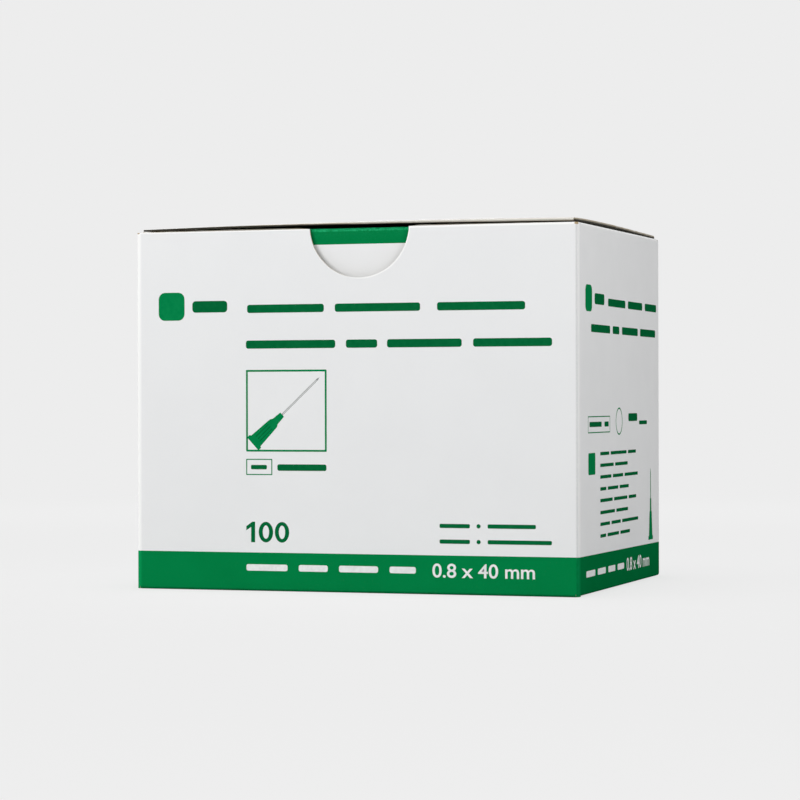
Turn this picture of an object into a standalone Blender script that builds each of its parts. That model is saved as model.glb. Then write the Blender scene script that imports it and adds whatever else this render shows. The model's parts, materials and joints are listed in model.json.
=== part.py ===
"""A closed folding carton of hypodermic needles: the folded carton, its two-ply tuck lid
and the strips of peel pouches that stand inside. Metres, +Z up, front panel towards -Y.
The origin is on the table, under the middle of the carton."""

import math

import bmesh
import bpy

# Carton blank, measured over the outside
CARTON_WIDTH = 0.135
CARTON_DEPTH = 0.101
FRONT_HEIGHT = 0.106  # table to the cut top edge of the front panel
BOARD = 0.00055
CREASE_INSIDE_RADIUS = 0.00035
BAND_HEIGHT = 0.0112  # the green band printed round the foot of the four walls
GLUE_FLAP_WIDTH = 0.014
GLUE_FLAP_FOOT_TAPER = 0.0022  # the flap's free edge is shorter by this at the foot
GLUE_FLAP_HEAD_TAPER = 0.0044
GLUE_LINE = 0.0001
NOTCH_RADIUS = 0.01525
NOTCH_DEPTH = 0.0144
NOTCH_OFFSET = 0.0019  # the thumb notch is cut this far to the right of the middle

# Dust flaps, which fold in under the lid from the two sides
DUST_FLAP_LENGTH = 0.042
DUST_FLAP_DROOP = math.radians(7)
DUST_CREASE_DROP = 0.00015  # the side creases lie this far below the front's top edge
DUST_FRONT_RELIEF = 0.0035  # cut back from the front corner, to let the tuck flap in
DUST_BACK_RELIEF = 0.002
DUST_TAPER = 0.006  # how far each side edge of a flap has drawn in at its end

# Bottom closure: back flap inside, side flaps next, front flap glued over them
BOTTOM_SIDE_FLAP_LENGTH = 0.042
BOTTOM_SIDE_CREASE = 0.00025  # height of the side and back creases above the table
BOTTOM_FRONT_REACH_GAP = 0.0045  # from the front flap's cut edge to the back panel
BOTTOM_BACK_REACH_GAP = 0.003  # from the back flap's cut edge to the front panel
CREASE_END_RELIEF = 0.0003  # a bottom crease stops this far short of the upright corner
BOTTOM_EDGE_INSET = 0.0035  # the front and back flaps' side edges, in from the side panels
SHOULDER = 0.0012  # the length in which those flaps draw in behind their crease
SIDE_FLAP_RISE_RUN = 0.004  # the inner flaps climb over the outer one in this length
BACK_FLAP_RISE_RUN = 0.005

# Lid
LID_SIDE_INSET = 0.0014  # outer ply's cut edges, in from the side panels
LID_FRONT_INSET = 0.0001
INNER_PLY_TOP = 0.0001  # inner ply's top face above the front panel's cut edge
PLY_GAP_FRONT = 0.00055  # between the plies at the front corners
PLY_GAP_BACK = 0.0003  # between the plies where they are glued, along the hinge
LID_BOW_ACROSS = 0.0006
LID_BOW_ALONG = 0.0004
LID_BOW_SKEW = 0.66  # under 1, so the bow's crest lies nearer the front than the back
LID_FRONT_DROOP = 0.0002
LID_FRONT_ROLL = 0.0009  # depth of the pressed-down front edge
LID_ROLL_SHAPE = ((1, 0), (0.45, 0.25), (0, 1))  # shares of its depth and of its droop
HINGE_INSIDE_RADIUS = 0.00055
HINGE_SLIT = 0.0003
TUCK_LENGTH = 0.020
TUCK_CORNER_RADIUS = 0.012
TUCK_FRONT_GAP = 0.00035
TUCK_SWING_CLEARANCE = 0.0006

# Peel-pouch strips, in pairs that face each other
POUCHES_PER_STRIP = 5
WEB = 0.0004  # paper and film together
STRIP_TUCK_CLEARANCE = 0.00095  # from the foot of the tuck flap to the first strip
STRIP_SIDE_CLEARANCE = 0.0005
STRIP_WALL_CLEARANCE = 0.0004
STRIP_GAP = 0.0003
HEADROOM = 0.010  # strips' top to the lowest corner of the dust flaps
HUB_WIDTH = 0.009
HUB_DEPTH = 0.0076
HUB_LENGTH = 0.018
HEAD_WIDTH = 0.0072  # of the hub pocket's sloping end
HEAD_DEPTH = 0.0030
SHIELD_WIDTH = 0.0070
SHIELD_DEPTH = 0.0052
FOOT_WIDTH = 0.0042  # of the shield pocket's sloping end
FOOT_DEPTH = 0.0021
BLISTER_TAPER = 0.004
BLISTER_FULLNESS = 0.6  # power of the section's curve: 1 is an ellipse, less is squarer
BLISTER_ROOT = 0.12  # least height of the section, as a share of its depth
TOP_SEAL = 0.011
BOTTOM_SEAL = 0.008
TEAR_NOTCH = 0.002

GAP = 0.0003  # clearance between pieces that rest on each other
FOLD_STEPS = 4
NOTCH_STEPS = 24
TUCK_CORNER_STEPS = 6
BLISTER_SIDES = 4
LID_COLUMNS = 12
LID_ROWS = 8

half_width = CARTON_WIDTH / 2
half_depth = CARTON_DEPTH / 2
fold_radius = CREASE_INSIDE_RADIUS + BOARD
side_crease_top = FRONT_HEIGHT - DUST_CREASE_DROP
inner_ply_z = FRONT_HEIGHT + INNER_PLY_TOP
dust_clearance = BOARD + GAP - INNER_PLY_TOP - DUST_CREASE_DROP
inner_ply_inset = fold_radius + dust_clearance / math.tan(DUST_FLAP_DROOP)
lid_top_front = inner_ply_z + PLY_GAP_FRONT + BOARD
lid_top_back = inner_ply_z + PLY_GAP_BACK + BOARD
hinge_radius = HINGE_INSIDE_RADIUS + BOARD
hinge_height = lid_top_back - hinge_radius - HINGE_SLIT / 2
back_top = hinge_height - HINGE_SLIT / 2
tuck_inset = TUCK_LENGTH ** 2 / (2 * CARTON_DEPTH) + TUCK_SWING_CLEARANCE
tuck_lean = math.atan2(tuck_inset, TUCK_LENGTH)
tuck_face_y = -half_depth + BOARD + TUCK_FRONT_GAP


def clear_scene():
    for obj in list(bpy.data.objects):
        bpy.data.objects.remove(obj, do_unlink=True)


def material(name, color, roughness):
    made = bpy.data.materials.new(name)
    made.use_nodes = True
    shader = made.node_tree.nodes["Principled BSDF"]
    shader.inputs["Base Color"].default_value = (*color, 1)
    shader.inputs["Roughness"].default_value = roughness
    shader.inputs["Metallic"].default_value = 0
    return made


def add_object(name, mesh, surface):
    obj = bpy.data.objects.new(name, mesh)
    bpy.context.scene.collection.objects.link(obj)
    if not mesh.materials:
        mesh.materials.append(surface)
    return obj


def mesh_from(name, bm):
    mesh = bpy.data.meshes.new(name)
    bm.to_mesh(mesh)
    bm.free()
    return mesh


def thicken(obj, thickness):
    """Gives a sheet its thickness, on the side away from its normals."""
    made = obj.modifiers.new("board", "SOLIDIFY")
    made.thickness = thickness
    made.offset = -1
    made.use_even_offset = True


def arc(centre, radius, start, end, steps):
    """Points of an arc in a plane, both ends included, angles in radians."""
    return [
        (
            centre[0] + radius * math.cos(start + (end - start) * i / steps),
            centre[1] + radius * math.sin(start + (end - start) * i / steps),
        )
        for i in range(steps + 1)
    ]


def fold_path(radius, turn, runs):
    """A flap's section as (inward, along) pairs from its crease line. The panel runs
    along the second value, the fold turns by `turn` towards the inside, and each run is
    a (length, angle past square) pair."""
    path = [
        (radius * (1 - math.cos(turn * i / FOLD_STEPS)), radius * math.sin(turn * i / FOLD_STEPS))
        for i in range(FOLD_STEPS + 1)
    ]
    for length, past_square in runs:
        inward, along = path[-1]
        path.append(
            (
                inward + length * math.cos(past_square),
                along - length * math.sin(past_square),
            )
        )
    return path


class Sheet:
    """A board sheet under construction: shared corners, faces wound to face outwards."""

    def __init__(self):
        self.bm = bmesh.new()
        self.corners = {}

    def corner(self, point):
        key = tuple(round(value, 7) for value in point)
        if key not in self.corners:
            self.corners[key] = self.bm.verts.new(point)
        return self.corners[key]

    def face(self, points):
        self.bm.faces.new([self.corner(p) for p in points])

    def flap(self, place, low, high, path, drawn_in, corner_radius=0.0):
        """Adds a flap whose crease runs from low to high. place(across, inward, along)
        gives a point. drawn_in holds, for the end of each run past the fold, how far the
        low and the high side edge have drawn in."""
        draws = [(0, 0)] * (FOLD_STEPS + 1) + drawn_in
        edges = [
            (low + draw[0], high - draw[1], inward, along)
            for (inward, along), draw in zip(path, draws)
        ]
        for near, far in zip(edges[:-2], edges[1:-1]):
            self.face(
                [
                    place(near[1], near[2], near[3]),
                    place(far[1], far[2], far[3]),
                    place(far[0], far[2], far[3]),
                    place(near[0], near[2], near[3]),
                ]
            )
        near, far = edges[-2:]
        run = math.hypot(far[2] - near[2], far[3] - near[3])

        def at(across, gone):
            inward = near[2] + (far[2] - near[2]) * gone / run
            along = near[3] + (far[3] - near[3]) * gone / run
            return place(across, inward, along)

        outline = [at(near[1], 0)]
        if corner_radius:
            centre = (far[1] - corner_radius, run - corner_radius)
            steps, quarter = TUCK_CORNER_STEPS, math.pi / 2
            outline += [at(a, g) for a, g in arc(centre, corner_radius, 0, quarter, steps)]
            centre = (far[0] + corner_radius, run - corner_radius)
            outline += [at(a, g) for a, g in arc(centre, corner_radius, quarter, math.pi, steps)]
        else:
            outline += [at(far[1], run), at(far[0], run)]
        self.face(outline + [at(near[0], 0)])


def print_band(bm):
    """Splits the walls along the band's top edge and gives what lies below it the second
    material."""
    geometry = bm.verts[:] + bm.edges[:] + bm.faces[:]
    bmesh.ops.bisect_plane(bm, geom=geometry, plane_co=(0, 0, BAND_HEIGHT), plane_no=(0, 0, 1))
    for face in bm.faces:
        face.material_index = int(face.calc_center_median().z < BAND_HEIGHT)


def carton_blank():
    """The carton as one folded sheet, drawn by its outside face."""
    sheet = Sheet()
    low = fold_radius
    top = FRONT_HEIGHT
    crease = side_crease_top - fold_radius
    x_out, y_out = half_width, half_depth
    x_fold, y_fold = half_width - fold_radius, half_depth - fold_radius
    glue_x = -half_width + BOARD + GLUE_LINE
    seam_y = y_out - BOARD

    def wall_corner(centre, start, tops):
        """A rounded upright corner, turning a quarter anticlockwise from above."""
        points = arc(centre, fold_radius, start, start + math.pi / 2, FOLD_STEPS)
        for a, b in zip(points[:-1], points[1:]):
            sheet.face([(*a, low), (*b, low), (*b, tops), (*a, tops)])

    wall_corner((-x_fold, -y_fold), math.pi, top)
    wall_corner((x_fold, -y_fold), 1.5 * math.pi, top)
    wall_corner((x_fold, y_fold), 0, back_top)
    glue_fold_x = glue_x + fold_radius
    wall_corner((glue_fold_x, y_fold), math.pi / 2, back_top)
    glue_end = y_fold - GLUE_FLAP_WIDTH
    sheet.face(
        [
            (glue_x, y_fold, low),
            (glue_x, glue_end, low + GLUE_FLAP_FOOT_TAPER),
            (glue_x, glue_end, back_top - GLUE_FLAP_HEAD_TAPER),
            (glue_x, y_fold, back_top),
        ]
    )

    # Front panel with its thumb notch, and the outer bottom flap
    bottom_half = x_fold - CREASE_END_RELIEF
    shoulder = BOTTOM_EDGE_INSET - fold_radius - CREASE_END_RELIEF
    rise = NOTCH_RADIUS - NOTCH_DEPTH
    start = -math.asin(rise / NOTCH_RADIUS)
    notch = arc((NOTCH_OFFSET, top + rise), NOTCH_RADIUS, start, -math.pi - start, NOTCH_STEPS)
    sheet.face(
        [(-x_fold, -y_out, low), (-bottom_half, -y_out, low), (bottom_half, -y_out, low)]
        + [(x_fold, -y_out, low), (x_fold, -y_out, top)]
        + [(x, -y_out, z) for x, z in notch]
        + [(-x_fold, -y_out, top)]
    )
    reach = CARTON_DEPTH - fold_radius - SHOULDER - BOTTOM_FRONT_REACH_GAP
    sheet.flap(
        lambda across, inward, along: (-across, -y_out + inward, low - along),
        -bottom_half,
        bottom_half,
        fold_path(fold_radius, math.pi / 2, [(SHOULDER, 0), (reach, 0)]),
        [(shoulder, shoulder), (shoulder, shoulder)],
    )

    # Side panels with a dust flap at the top and a flap at the bottom
    front_edge = -y_out + DUST_FRONT_RELIEF
    back_edge = y_out - DUST_BACK_RELIEF
    bottom_front = -y_out + fold_radius + SHOULDER
    bottom_back = y_fold - CREASE_END_RELIEF
    inner_radius = low - BOTTOM_SIDE_CREASE
    over_front_flap = BOARD + GLUE_LINE
    climb = over_front_flap - BOTTOM_SIDE_CREASE
    side_slope = math.atan2(climb, SIDE_FLAP_RISE_RUN)
    clear_of_back_flap = BOTTOM_EDGE_INSET - inner_radius - GAP
    side_runs = [
        (clear_of_back_flap, side_slope),
        (SIDE_FLAP_RISE_RUN - clear_of_back_flap, side_slope),
        (BOTTOM_SIDE_FLAP_LENGTH - SIDE_FLAP_RISE_RUN, 0),
    ]
    back_draw = BACK_FLAP_RISE_RUN + fold_radius
    side_draws = [(0, back_draw), (0, back_draw), (DUST_TAPER, back_draw + DUST_TAPER)]
    dust = fold_path(
        fold_radius, math.pi / 2 + DUST_FLAP_DROOP, [(DUST_FLAP_LENGTH, DUST_FLAP_DROOP)]
    )
    for side in (1, -1):
        x = side * x_out
        back_fold = y_fold if side > 0 else seam_y
        outline = [
            (x, -y_fold, low),
            (x, bottom_front, low),
            (x, bottom_back, low),
            (x, back_fold, low),
            (x, back_fold, back_top),
            (x, back_edge, back_top),
            (x, back_edge, crease),
            (x, front_edge, crease),
            (x, front_edge, top),
            (x, -y_fold, top),
        ]
        sheet.face(outline if side > 0 else outline[::-1])
        sheet.flap(
            lambda across, inward, along, s=side: (s * (x_out - inward), s * across, crease + along),
            min(side * front_edge, side * back_edge),
            max(side * front_edge, side * back_edge),
            dust,
            [(DUST_TAPER, DUST_TAPER)],
        )
        sheet.flap(
            lambda across, inward, along, s=side: (s * (x_out - inward), -s * across, low - along),
            min(-side * bottom_front, -side * bottom_back),
            max(-side * bottom_front, -side * bottom_back),
            fold_path(inner_radius, math.pi / 2 + side_slope, side_runs),
            [draw[::-side] for draw in side_draws],
        )

    # Back panel, with the innermost bottom flap
    back_half = half_width - BOTTOM_EDGE_INSET
    sheet.face(
        [
            (x_fold, y_out, low),
            (back_half, y_out, low),
            (-back_half, y_out, low),
            (glue_fold_x, y_out, low),
            (glue_fold_x, y_out, back_top),
            (x_fold, y_out, back_top),
        ]
    )
    over_side_flaps = 2 * (BOARD + GLUE_LINE)
    back_slope = math.atan2(over_side_flaps - BOTTOM_SIDE_CREASE, BACK_FLAP_RISE_RUN)
    back_reach = CARTON_DEPTH - inner_radius - BACK_FLAP_RISE_RUN - BOTTOM_BACK_REACH_GAP
    sheet.flap(
        lambda across, inward, along: (across, y_out - inward, low - along),
        -back_half,
        back_half,
        fold_path(
            inner_radius,
            math.pi / 2 + back_slope,
            [(BACK_FLAP_RISE_RUN, back_slope), (back_reach, 0)],
        ),
        [(0, 0), (0, 0)],
    )
    print_band(sheet.bm)
    return mesh_from("carton", sheet.bm)


def outer_ply():
    """The lid's outer ply: a hinge fold at the back, then a bowed panel with cut edges."""
    sheet = Sheet()
    half = half_width - LID_SIDE_INSET
    panel_back = half_depth - hinge_radius
    panel_front = -half_depth + LID_FRONT_INSET
    columns, rows = LID_COLUMNS, LID_ROWS
    hinge_end = hinge_height + HINGE_SLIT / 2

    def top_face(x, y):
        u = (x + half) / (2 * half)
        v = (y - panel_front) / (panel_back - panel_front)
        level = lid_top_front + (lid_top_back - lid_top_front) * v
        across = LID_BOW_ACROSS * math.sin(math.pi * u) * math.cos(math.pi * v / 2)
        along = LID_BOW_ALONG * math.sin(math.pi * v ** LID_BOW_SKEW)
        return level + across + along

    hinge = arc((panel_back, hinge_end), hinge_radius, 0, math.pi / 2, FOLD_STEPS)
    lines = [[(y, z)] * (columns + 1) for y, z in hinge]
    xs = [-half + 2 * half * i / columns for i in range(columns + 1)]
    for row in range(1, rows):
        y = panel_back + (panel_front - panel_back) * row / rows
        lines.append([(y, top_face(x, y)) for x in xs])
    for back_share, droop in LID_ROLL_SHAPE:
        y = panel_front + back_share * LID_FRONT_ROLL
        lines.append([(y, top_face(x, y) - droop * LID_FRONT_DROOP) for x in xs])
    for back, front in zip(lines[:-1], lines[1:]):
        for i in range(columns):
            sheet.face(
                [
                    (xs[i], *back[i]),
                    (xs[i], *front[i]),
                    (xs[i + 1], *front[i + 1]),
                    (xs[i + 1], *back[i + 1]),
                ]
            )
    return mesh_from("outer_lid", sheet.bm)


def inner_ply():
    """The lid's inner ply with the tuck flap, which leans in so that it swings clear of
    the front panel."""
    sheet = Sheet()
    half = half_width - inner_ply_inset
    back = half_depth - hinge_radius
    fold = tuck_face_y + fold_radius
    sheet.face(
        [
            (-half, fold, inner_ply_z),
            (half, fold, inner_ply_z),
            (half, back, inner_ply_z),
            (-half, back, inner_ply_z),
        ]
    )
    # The flap's section starts on the panel, so its two directions are swapped
    path = fold_path(
        fold_radius, math.pi / 2 + tuck_lean, [(TUCK_LENGTH - fold_radius, tuck_lean)]
    )
    sheet.flap(
        lambda across, inward, along: (-across, fold - along, inner_ply_z - inward),
        -half,
        half,
        path,
        [(0, 0)],
        TUCK_CORNER_RADIUS,
    )
    return mesh_from("tuck_lid", sheet.bm)


def hang_on(hinge, obj):
    """Puts an object's origin on the hinge's axis, with its shape left where it is."""
    obj.data.transform(hinge.matrix_world.inverted())
    obj.parent = hinge


def blister(bm, centre_x, bottom, top):
    """One film blister: a wide hub pocket at the top and a slim pocket for the shield."""
    stations = [
        (bottom, FOOT_WIDTH, FOOT_DEPTH),
        (bottom + BLISTER_TAPER / 2, SHIELD_WIDTH, SHIELD_DEPTH),
        (top - HUB_LENGTH - BLISTER_TAPER, SHIELD_WIDTH, SHIELD_DEPTH),
        (top - HUB_LENGTH, HUB_WIDTH, HUB_DEPTH),
        (top - BLISTER_TAPER / 2, HUB_WIDTH, HUB_DEPTH),
        (top, HEAD_WIDTH, HEAD_DEPTH),
    ]
    rings = []
    for z, width, depth in stations:
        ring = [bm.verts.new((centre_x + width / 2, WEB / 2, z))]
        for i in range(BLISTER_SIDES + 1):
            angle = math.pi * i / BLISTER_SIDES
            across = math.copysign(abs(math.cos(angle)) ** BLISTER_FULLNESS, math.cos(angle))
            out = max(BLISTER_ROOT, math.sin(angle) ** BLISTER_FULLNESS)
            ring.append(bm.verts.new((centre_x + across * width / 2, WEB + depth * out, z)))
        ring.append(bm.verts.new((centre_x - width / 2, WEB / 2, z)))
        rings.append(ring)
    count = len(rings[0])
    for lower, upper in zip(rings[:-1], rings[1:]):
        for i in range(count):
            j = (i + 1) % count
            bm.faces.new([lower[i], upper[i], upper[j], lower[j]])
    bm.faces.new(rings[0])
    bm.faces.new(rings[-1][::-1])


def strip_mesh(pitch, height):
    """A strip of sealed peel pouches: the flat web with tear notches, and the blisters."""
    width = POUCHES_PER_STRIP * pitch
    tears = [-width / 2 + pitch * i for i in range(1, POUCHES_PER_STRIP)]
    outline = [(-width / 2, 0)]
    for x in tears:
        outline += [(x - TEAR_NOTCH / 2, 0), (x, TEAR_NOTCH), (x + TEAR_NOTCH / 2, 0)]
    outline += [(width / 2, 0), (width / 2, height)]
    for x in reversed(tears):
        right, left = x + TEAR_NOTCH / 2, x - TEAR_NOTCH / 2
        outline += [(right, height), (x, height - TEAR_NOTCH), (left, height)]
    outline += [(-width / 2, height)]
    web = bmesh.new()
    sheet = web.faces.new([web.verts.new((x, 0, z)) for x, z in outline])
    raised = bmesh.ops.extrude_face_region(web, geom=[sheet])
    moved = [v for v in raised["geom"] if isinstance(v, bmesh.types.BMVert)]
    bmesh.ops.translate(web, vec=(0, WEB, 0), verts=moved)
    bmesh.ops.recalc_face_normals(web, faces=web.faces)
    domes = bmesh.new()
    for i in range(POUCHES_PER_STRIP):
        blister(domes, -width / 2 + pitch * (i + 0.5), BOTTOM_SEAL, height - TOP_SEAL)
    bmesh.ops.recalc_face_normals(domes, faces=domes.faces)

    base = bpy.data.objects.new("web", mesh_from("web", web))
    cutter = bpy.data.objects.new("domes", mesh_from("domes", domes))
    for obj in (base, cutter):
        bpy.context.scene.collection.objects.link(obj)
    join = base.modifiers.new("domes", "BOOLEAN")
    join.operation = "UNION"
    join.solver = "EXACT"
    join.object = cutter
    bpy.context.view_layer.update()
    joined = base.evaluated_get(bpy.context.evaluated_depsgraph_get())
    mesh = bpy.data.meshes.new_from_object(joined)
    for obj in (base, cutter):
        bpy.data.objects.remove(obj, do_unlink=True)
    return mesh


def add_strips(surface):
    """Stands the pouch strips in the carton, in pairs whose blisters mesh like teeth."""
    left = -half_width + 2 * BOARD + GLUE_LINE + STRIP_SIDE_CLEARANCE
    right = half_width - BOARD - STRIP_SIDE_CLEARANCE
    pitch = (right - left) / (POUCHES_PER_STRIP + 0.5)
    floor = 3 * BOARD + 2 * GLUE_LINE + GAP
    droop_end = DUST_FLAP_LENGTH * math.sin(DUST_FLAP_DROOP) + 2 * BOARD
    height = side_crease_top - droop_end - HEADROOM - floor
    front = tuck_face_y + tuck_inset + BOARD + STRIP_TUCK_CLEARANCE
    back = half_depth - BOARD - STRIP_WALL_CLEARANCE
    pair_depth = 2 * WEB + HUB_DEPTH + 2 * STRIP_GAP
    pairs = int((back - front) / pair_depth)
    spacing = (back - front) / pairs
    mesh = strip_mesh(pitch, height)
    half_strip = POUCHES_PER_STRIP * pitch / 2
    for pair in range(pairs):
        y = front + spacing * pair
        facing_back = add_object(f"pouch_strip_{2 * pair + 1:02d}", mesh, surface)
        facing_back.location = (left + half_strip, y, floor)
        facing_front = add_object(f"pouch_strip_{2 * pair + 2:02d}", mesh, surface)
        facing_front.rotation_euler = (0, 0, math.pi)
        facing_front.location = (
            right - half_strip,
            y + 2 * WEB + HUB_DEPTH + STRIP_GAP,
            floor,
        )


def main():
    clear_scene()
    coated_board = material("coated_board", (0.79, 0.80, 0.80), 0.45)
    lid_board = material("lid_board", (0.72, 0.70, 0.66), 0.55)
    green_board = material("green_board", (0.0, 0.20, 0.06), 0.4)
    pouch_film = material("pouch_film", (0.75, 0.79, 0.80), 0.25)

    carton = add_object("carton", carton_blank(), coated_board)
    carton.data.materials.append(green_board)
    thicken(carton, BOARD)

    hinge = bpy.data.objects.new("lid_hinge", None)
    bpy.context.scene.collection.objects.link(hinge)
    hinge.location = (0, half_depth, hinge_height)
    bpy.context.view_layer.update()
    for name, mesh, surface in (
        ("outer_lid", outer_ply(), lid_board),
        ("tuck_lid", inner_ply(), green_board),
    ):
        ply = add_object(name, mesh, surface)
        thicken(ply, BOARD)
        hang_on(hinge, ply)

    add_strips(pouch_film)


main()
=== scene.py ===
import json
import math

import bmesh
import bpy
from mathutils import Matrix, Vector


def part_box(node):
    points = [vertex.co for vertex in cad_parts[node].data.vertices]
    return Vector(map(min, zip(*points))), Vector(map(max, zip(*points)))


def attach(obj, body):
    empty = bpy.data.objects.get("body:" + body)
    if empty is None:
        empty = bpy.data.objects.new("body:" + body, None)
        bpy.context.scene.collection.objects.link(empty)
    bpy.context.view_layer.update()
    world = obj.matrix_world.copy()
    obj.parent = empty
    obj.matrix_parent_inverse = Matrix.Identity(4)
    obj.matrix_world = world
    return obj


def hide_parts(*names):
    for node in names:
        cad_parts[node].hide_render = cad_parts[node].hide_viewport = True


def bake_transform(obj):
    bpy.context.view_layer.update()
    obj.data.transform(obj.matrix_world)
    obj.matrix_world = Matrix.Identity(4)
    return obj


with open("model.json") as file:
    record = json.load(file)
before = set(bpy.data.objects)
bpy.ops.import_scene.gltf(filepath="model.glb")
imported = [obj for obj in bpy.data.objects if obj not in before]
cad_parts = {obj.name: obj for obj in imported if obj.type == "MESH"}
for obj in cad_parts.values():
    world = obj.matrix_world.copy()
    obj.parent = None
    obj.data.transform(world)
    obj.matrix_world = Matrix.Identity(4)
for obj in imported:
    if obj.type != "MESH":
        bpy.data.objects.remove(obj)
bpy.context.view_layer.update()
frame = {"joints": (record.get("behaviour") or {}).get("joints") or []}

mm = 0.001
quarterTurn = math.pi / 2
fullTurn = 2 * math.pi


# small helpers for nodes, meshes and objects

def newMaterial(name):
    made = bpy.data.materials.new(name)
    made.use_nodes = True
    made.node_tree.nodes.clear()
    return made, made.node_tree


def addNode(tree, kind, inputs=None, **settings):
    node = tree.nodes.new("ShaderNode" + kind)
    for key, value in settings.items():
        setattr(node, key, value)
    for key, value in (inputs or {}).items():
        if isinstance(value, bpy.types.NodeSocket):
            tree.links.new(value, node.inputs[key])
        else:
            node.inputs[key].default_value = value
    return node


def maths(tree, operation, *values):
    return addNode(tree, "Math", dict(enumerate(values)), operation=operation).outputs[0]


def vectorMaths(tree, operation, *values):
    node = addNode(tree, "VectorMath", dict(enumerate(values)), operation=operation)
    return node.outputs["Value" if operation == "LENGTH" else "Vector"]


def mixColours(tree, share, *tones):
    tones = (tone if isinstance(tone, bpy.types.NodeSocket) else (*tone, 1) for tone in tones)
    return addNode(tree, "Mix", dict(zip((0, 6, 7), (share, *tones))), data_type="RGBA").outputs[2]


def darkened(tree, share, colour, tone):
    inputs = {0: share, 1: colour, 2: (tone, tone, tone, 1)}
    return addNode(tree, "MixRGB", inputs, blend_type="MULTIPLY").outputs[0]


def spread(tree, value, low, high, newLow=0.0, newHigh=1.0, kind="LINEAR"):
    inputs = {"Value": value, "From Min": low, "From Max": high, "To Min": newLow, "To Max": newHigh}
    return addNode(tree, "MapRange", inputs, interpolation_type=kind).outputs["Result"]


def noiseField(tree, place, scale, detail=3.0, roughness=0.5):
    inputs = {"Vector": place, "Scale": scale, "Detail": detail, "Roughness": roughness}
    return addNode(tree, "TexNoise", inputs).outputs["Fac"]


def cloudField(tree, place, scale, low=0.0, high=1.0, detail=3.0):
    return spread(tree, noiseField(tree, place, scale, detail), 0.3, 0.7, low, high)


def objectPlace(tree, stretch=(1, 1, 1)):
    place = addNode(tree, "TexCoord").outputs["Object"]
    return addNode(tree, "Mapping", {"Vector": place, "Scale": stretch}).outputs["Vector"]


def surfaceOf(tree, inputs, bump, bumpDepth):
    relief = addNode(tree, "Bump", {"Height": bump, "Strength": 1.0, "Distance": bumpDepth})
    shader = addNode(tree, "BsdfPrincipled", {**inputs, "Normal": relief.outputs["Normal"]})
    addNode(tree, "OutputMaterial", {"Surface": shader.outputs["BSDF"]})


def plainMaterial(name, finish):
    # a clouded colour and gloss over a fine grain
    made, tree = newMaterial(name)
    place = objectPlace(tree)
    scale, low, high = finish["cloud"]
    cloud = spread(tree, noiseField(tree, place, scale), low, high)
    colour = mixColours(tree, cloud, *finish["tones"])
    gloss = cloudField(tree, place, *finish["gloss"])
    inputs = {"Base Color": colour, "Roughness": gloss, **finish["uniform"]}
    surfaceOf(tree, inputs, noiseField(tree, place, *finish["grain"]), finish["grainDepth"])
    return made


def fromMm(x, y, z):
    return (x * mm, y * mm, z * mm)


def clamp(share):
    return min(1.0, max(0.0, share))


def arcPoints(centre, radius, start, end, steps):
    turns = [start + (end - start) * i / steps for i in range(steps + 1)]
    return [(centre[0] + radius * math.cos(t), centre[1] + radius * math.sin(t)) for t in turns]


def bridge(bm, first, second, index=0):
    # faces from one ring to the next; where a ring is a single point, they are triangles
    for i in range(len(first)):
        j = (i + 1) % len(first)
        corners = dict.fromkeys([first[i], first[j], second[j], second[i]])
        bm.faces.new(list(corners)).material_index = index


def meshFrom(name, bm):
    mesh = bpy.data.meshes.new(name)
    bm.to_mesh(mesh)
    bm.free()
    return mesh


def linkObject(name, data):
    made = bpy.data.objects.new(name, data)
    bpy.context.scene.collection.objects.link(made)
    return made


def placeObject(name, mesh, materials=()):
    made = linkObject(name, mesh)
    if not mesh.materials:
        for surface in materials:
            mesh.materials.append(surface)
    return made


def finishedMesh(made):
    bpy.context.view_layer.update()
    return bpy.data.meshes.new_from_object(made.evaluated_get(bpy.context.evaluated_depsgraph_get()))


def smoothBelow(mesh, degrees):
    mesh.shade_smooth()
    mesh.set_sharp_from_angle(angle=math.radians(degrees))


# camera, from a fit of the carton's six outer corners in the photo

photoView = {
    "place": (0.2642, -0.8032, 0.0560),
    "turn": 18.365,  # degrees left of straight along +Y
    "lean": -0.147,  # degrees about the line of sight
    "lens": 123.6,
    "sensor": 36.0,
    "clip": (0.02, 60),
}


def setCamera():
    data = bpy.data.cameras.new("photoCamera")
    data.lens = photoView["lens"]
    data.sensor_width = photoView["sensor"]
    data.clip_start, data.clip_end = photoView["clip"]
    camera = linkObject("photoCamera", data)
    turn, lean = (Matrix.Rotation(math.radians(photoView[key]), 4, "Z") for key in ("turn", "lean"))
    level = Matrix.Rotation(quarterTurn, 4, "X")
    camera.matrix_world = Matrix.Translation(photoView["place"]) @ turn @ level @ lean
    bpy.context.scene.camera = camera


setCamera()
print("camera placed")


# floor, backdrop and lamps

studio = {
    "backdrop": (0.847, 0.847, 0.847),
    "nearGlow": (1.015, 1.015, 1.015),  # with the shadow's share it makes the backdrop's tone again
    "floorColour": (0.72, 0.72, 0.72),
    "floorSize": 24.0,
    "shadowShare": 0.30,  # how much of the floor's own light and shadow the camera sees
    "fade": (0.30, 0.80),  # m from the middle
    "ambient": 0.34,
    "aim": Vector((0, 0, 0.05)),  # of the lamps
}
lamps = {
    "overheadSun": {"kind": "SUN", "strength": 0.9, "angle": 60, "from": (-0.10, -0.15, 1.0)},
    "keyPanel": {"kind": "AREA", "strength": 4.4, "size": 0.50, "from": (-0.50, -0.70, 0.45)},
    "sideFill": {"kind": "AREA", "strength": 0.58, "size": 0.14, "from": (0.33, -0.21, 0.30)},
    "backFill": {"kind": "AREA", "strength": 2.5, "size": 0.50, "from": (-0.45, 0.85, 0.45)},
}


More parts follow.
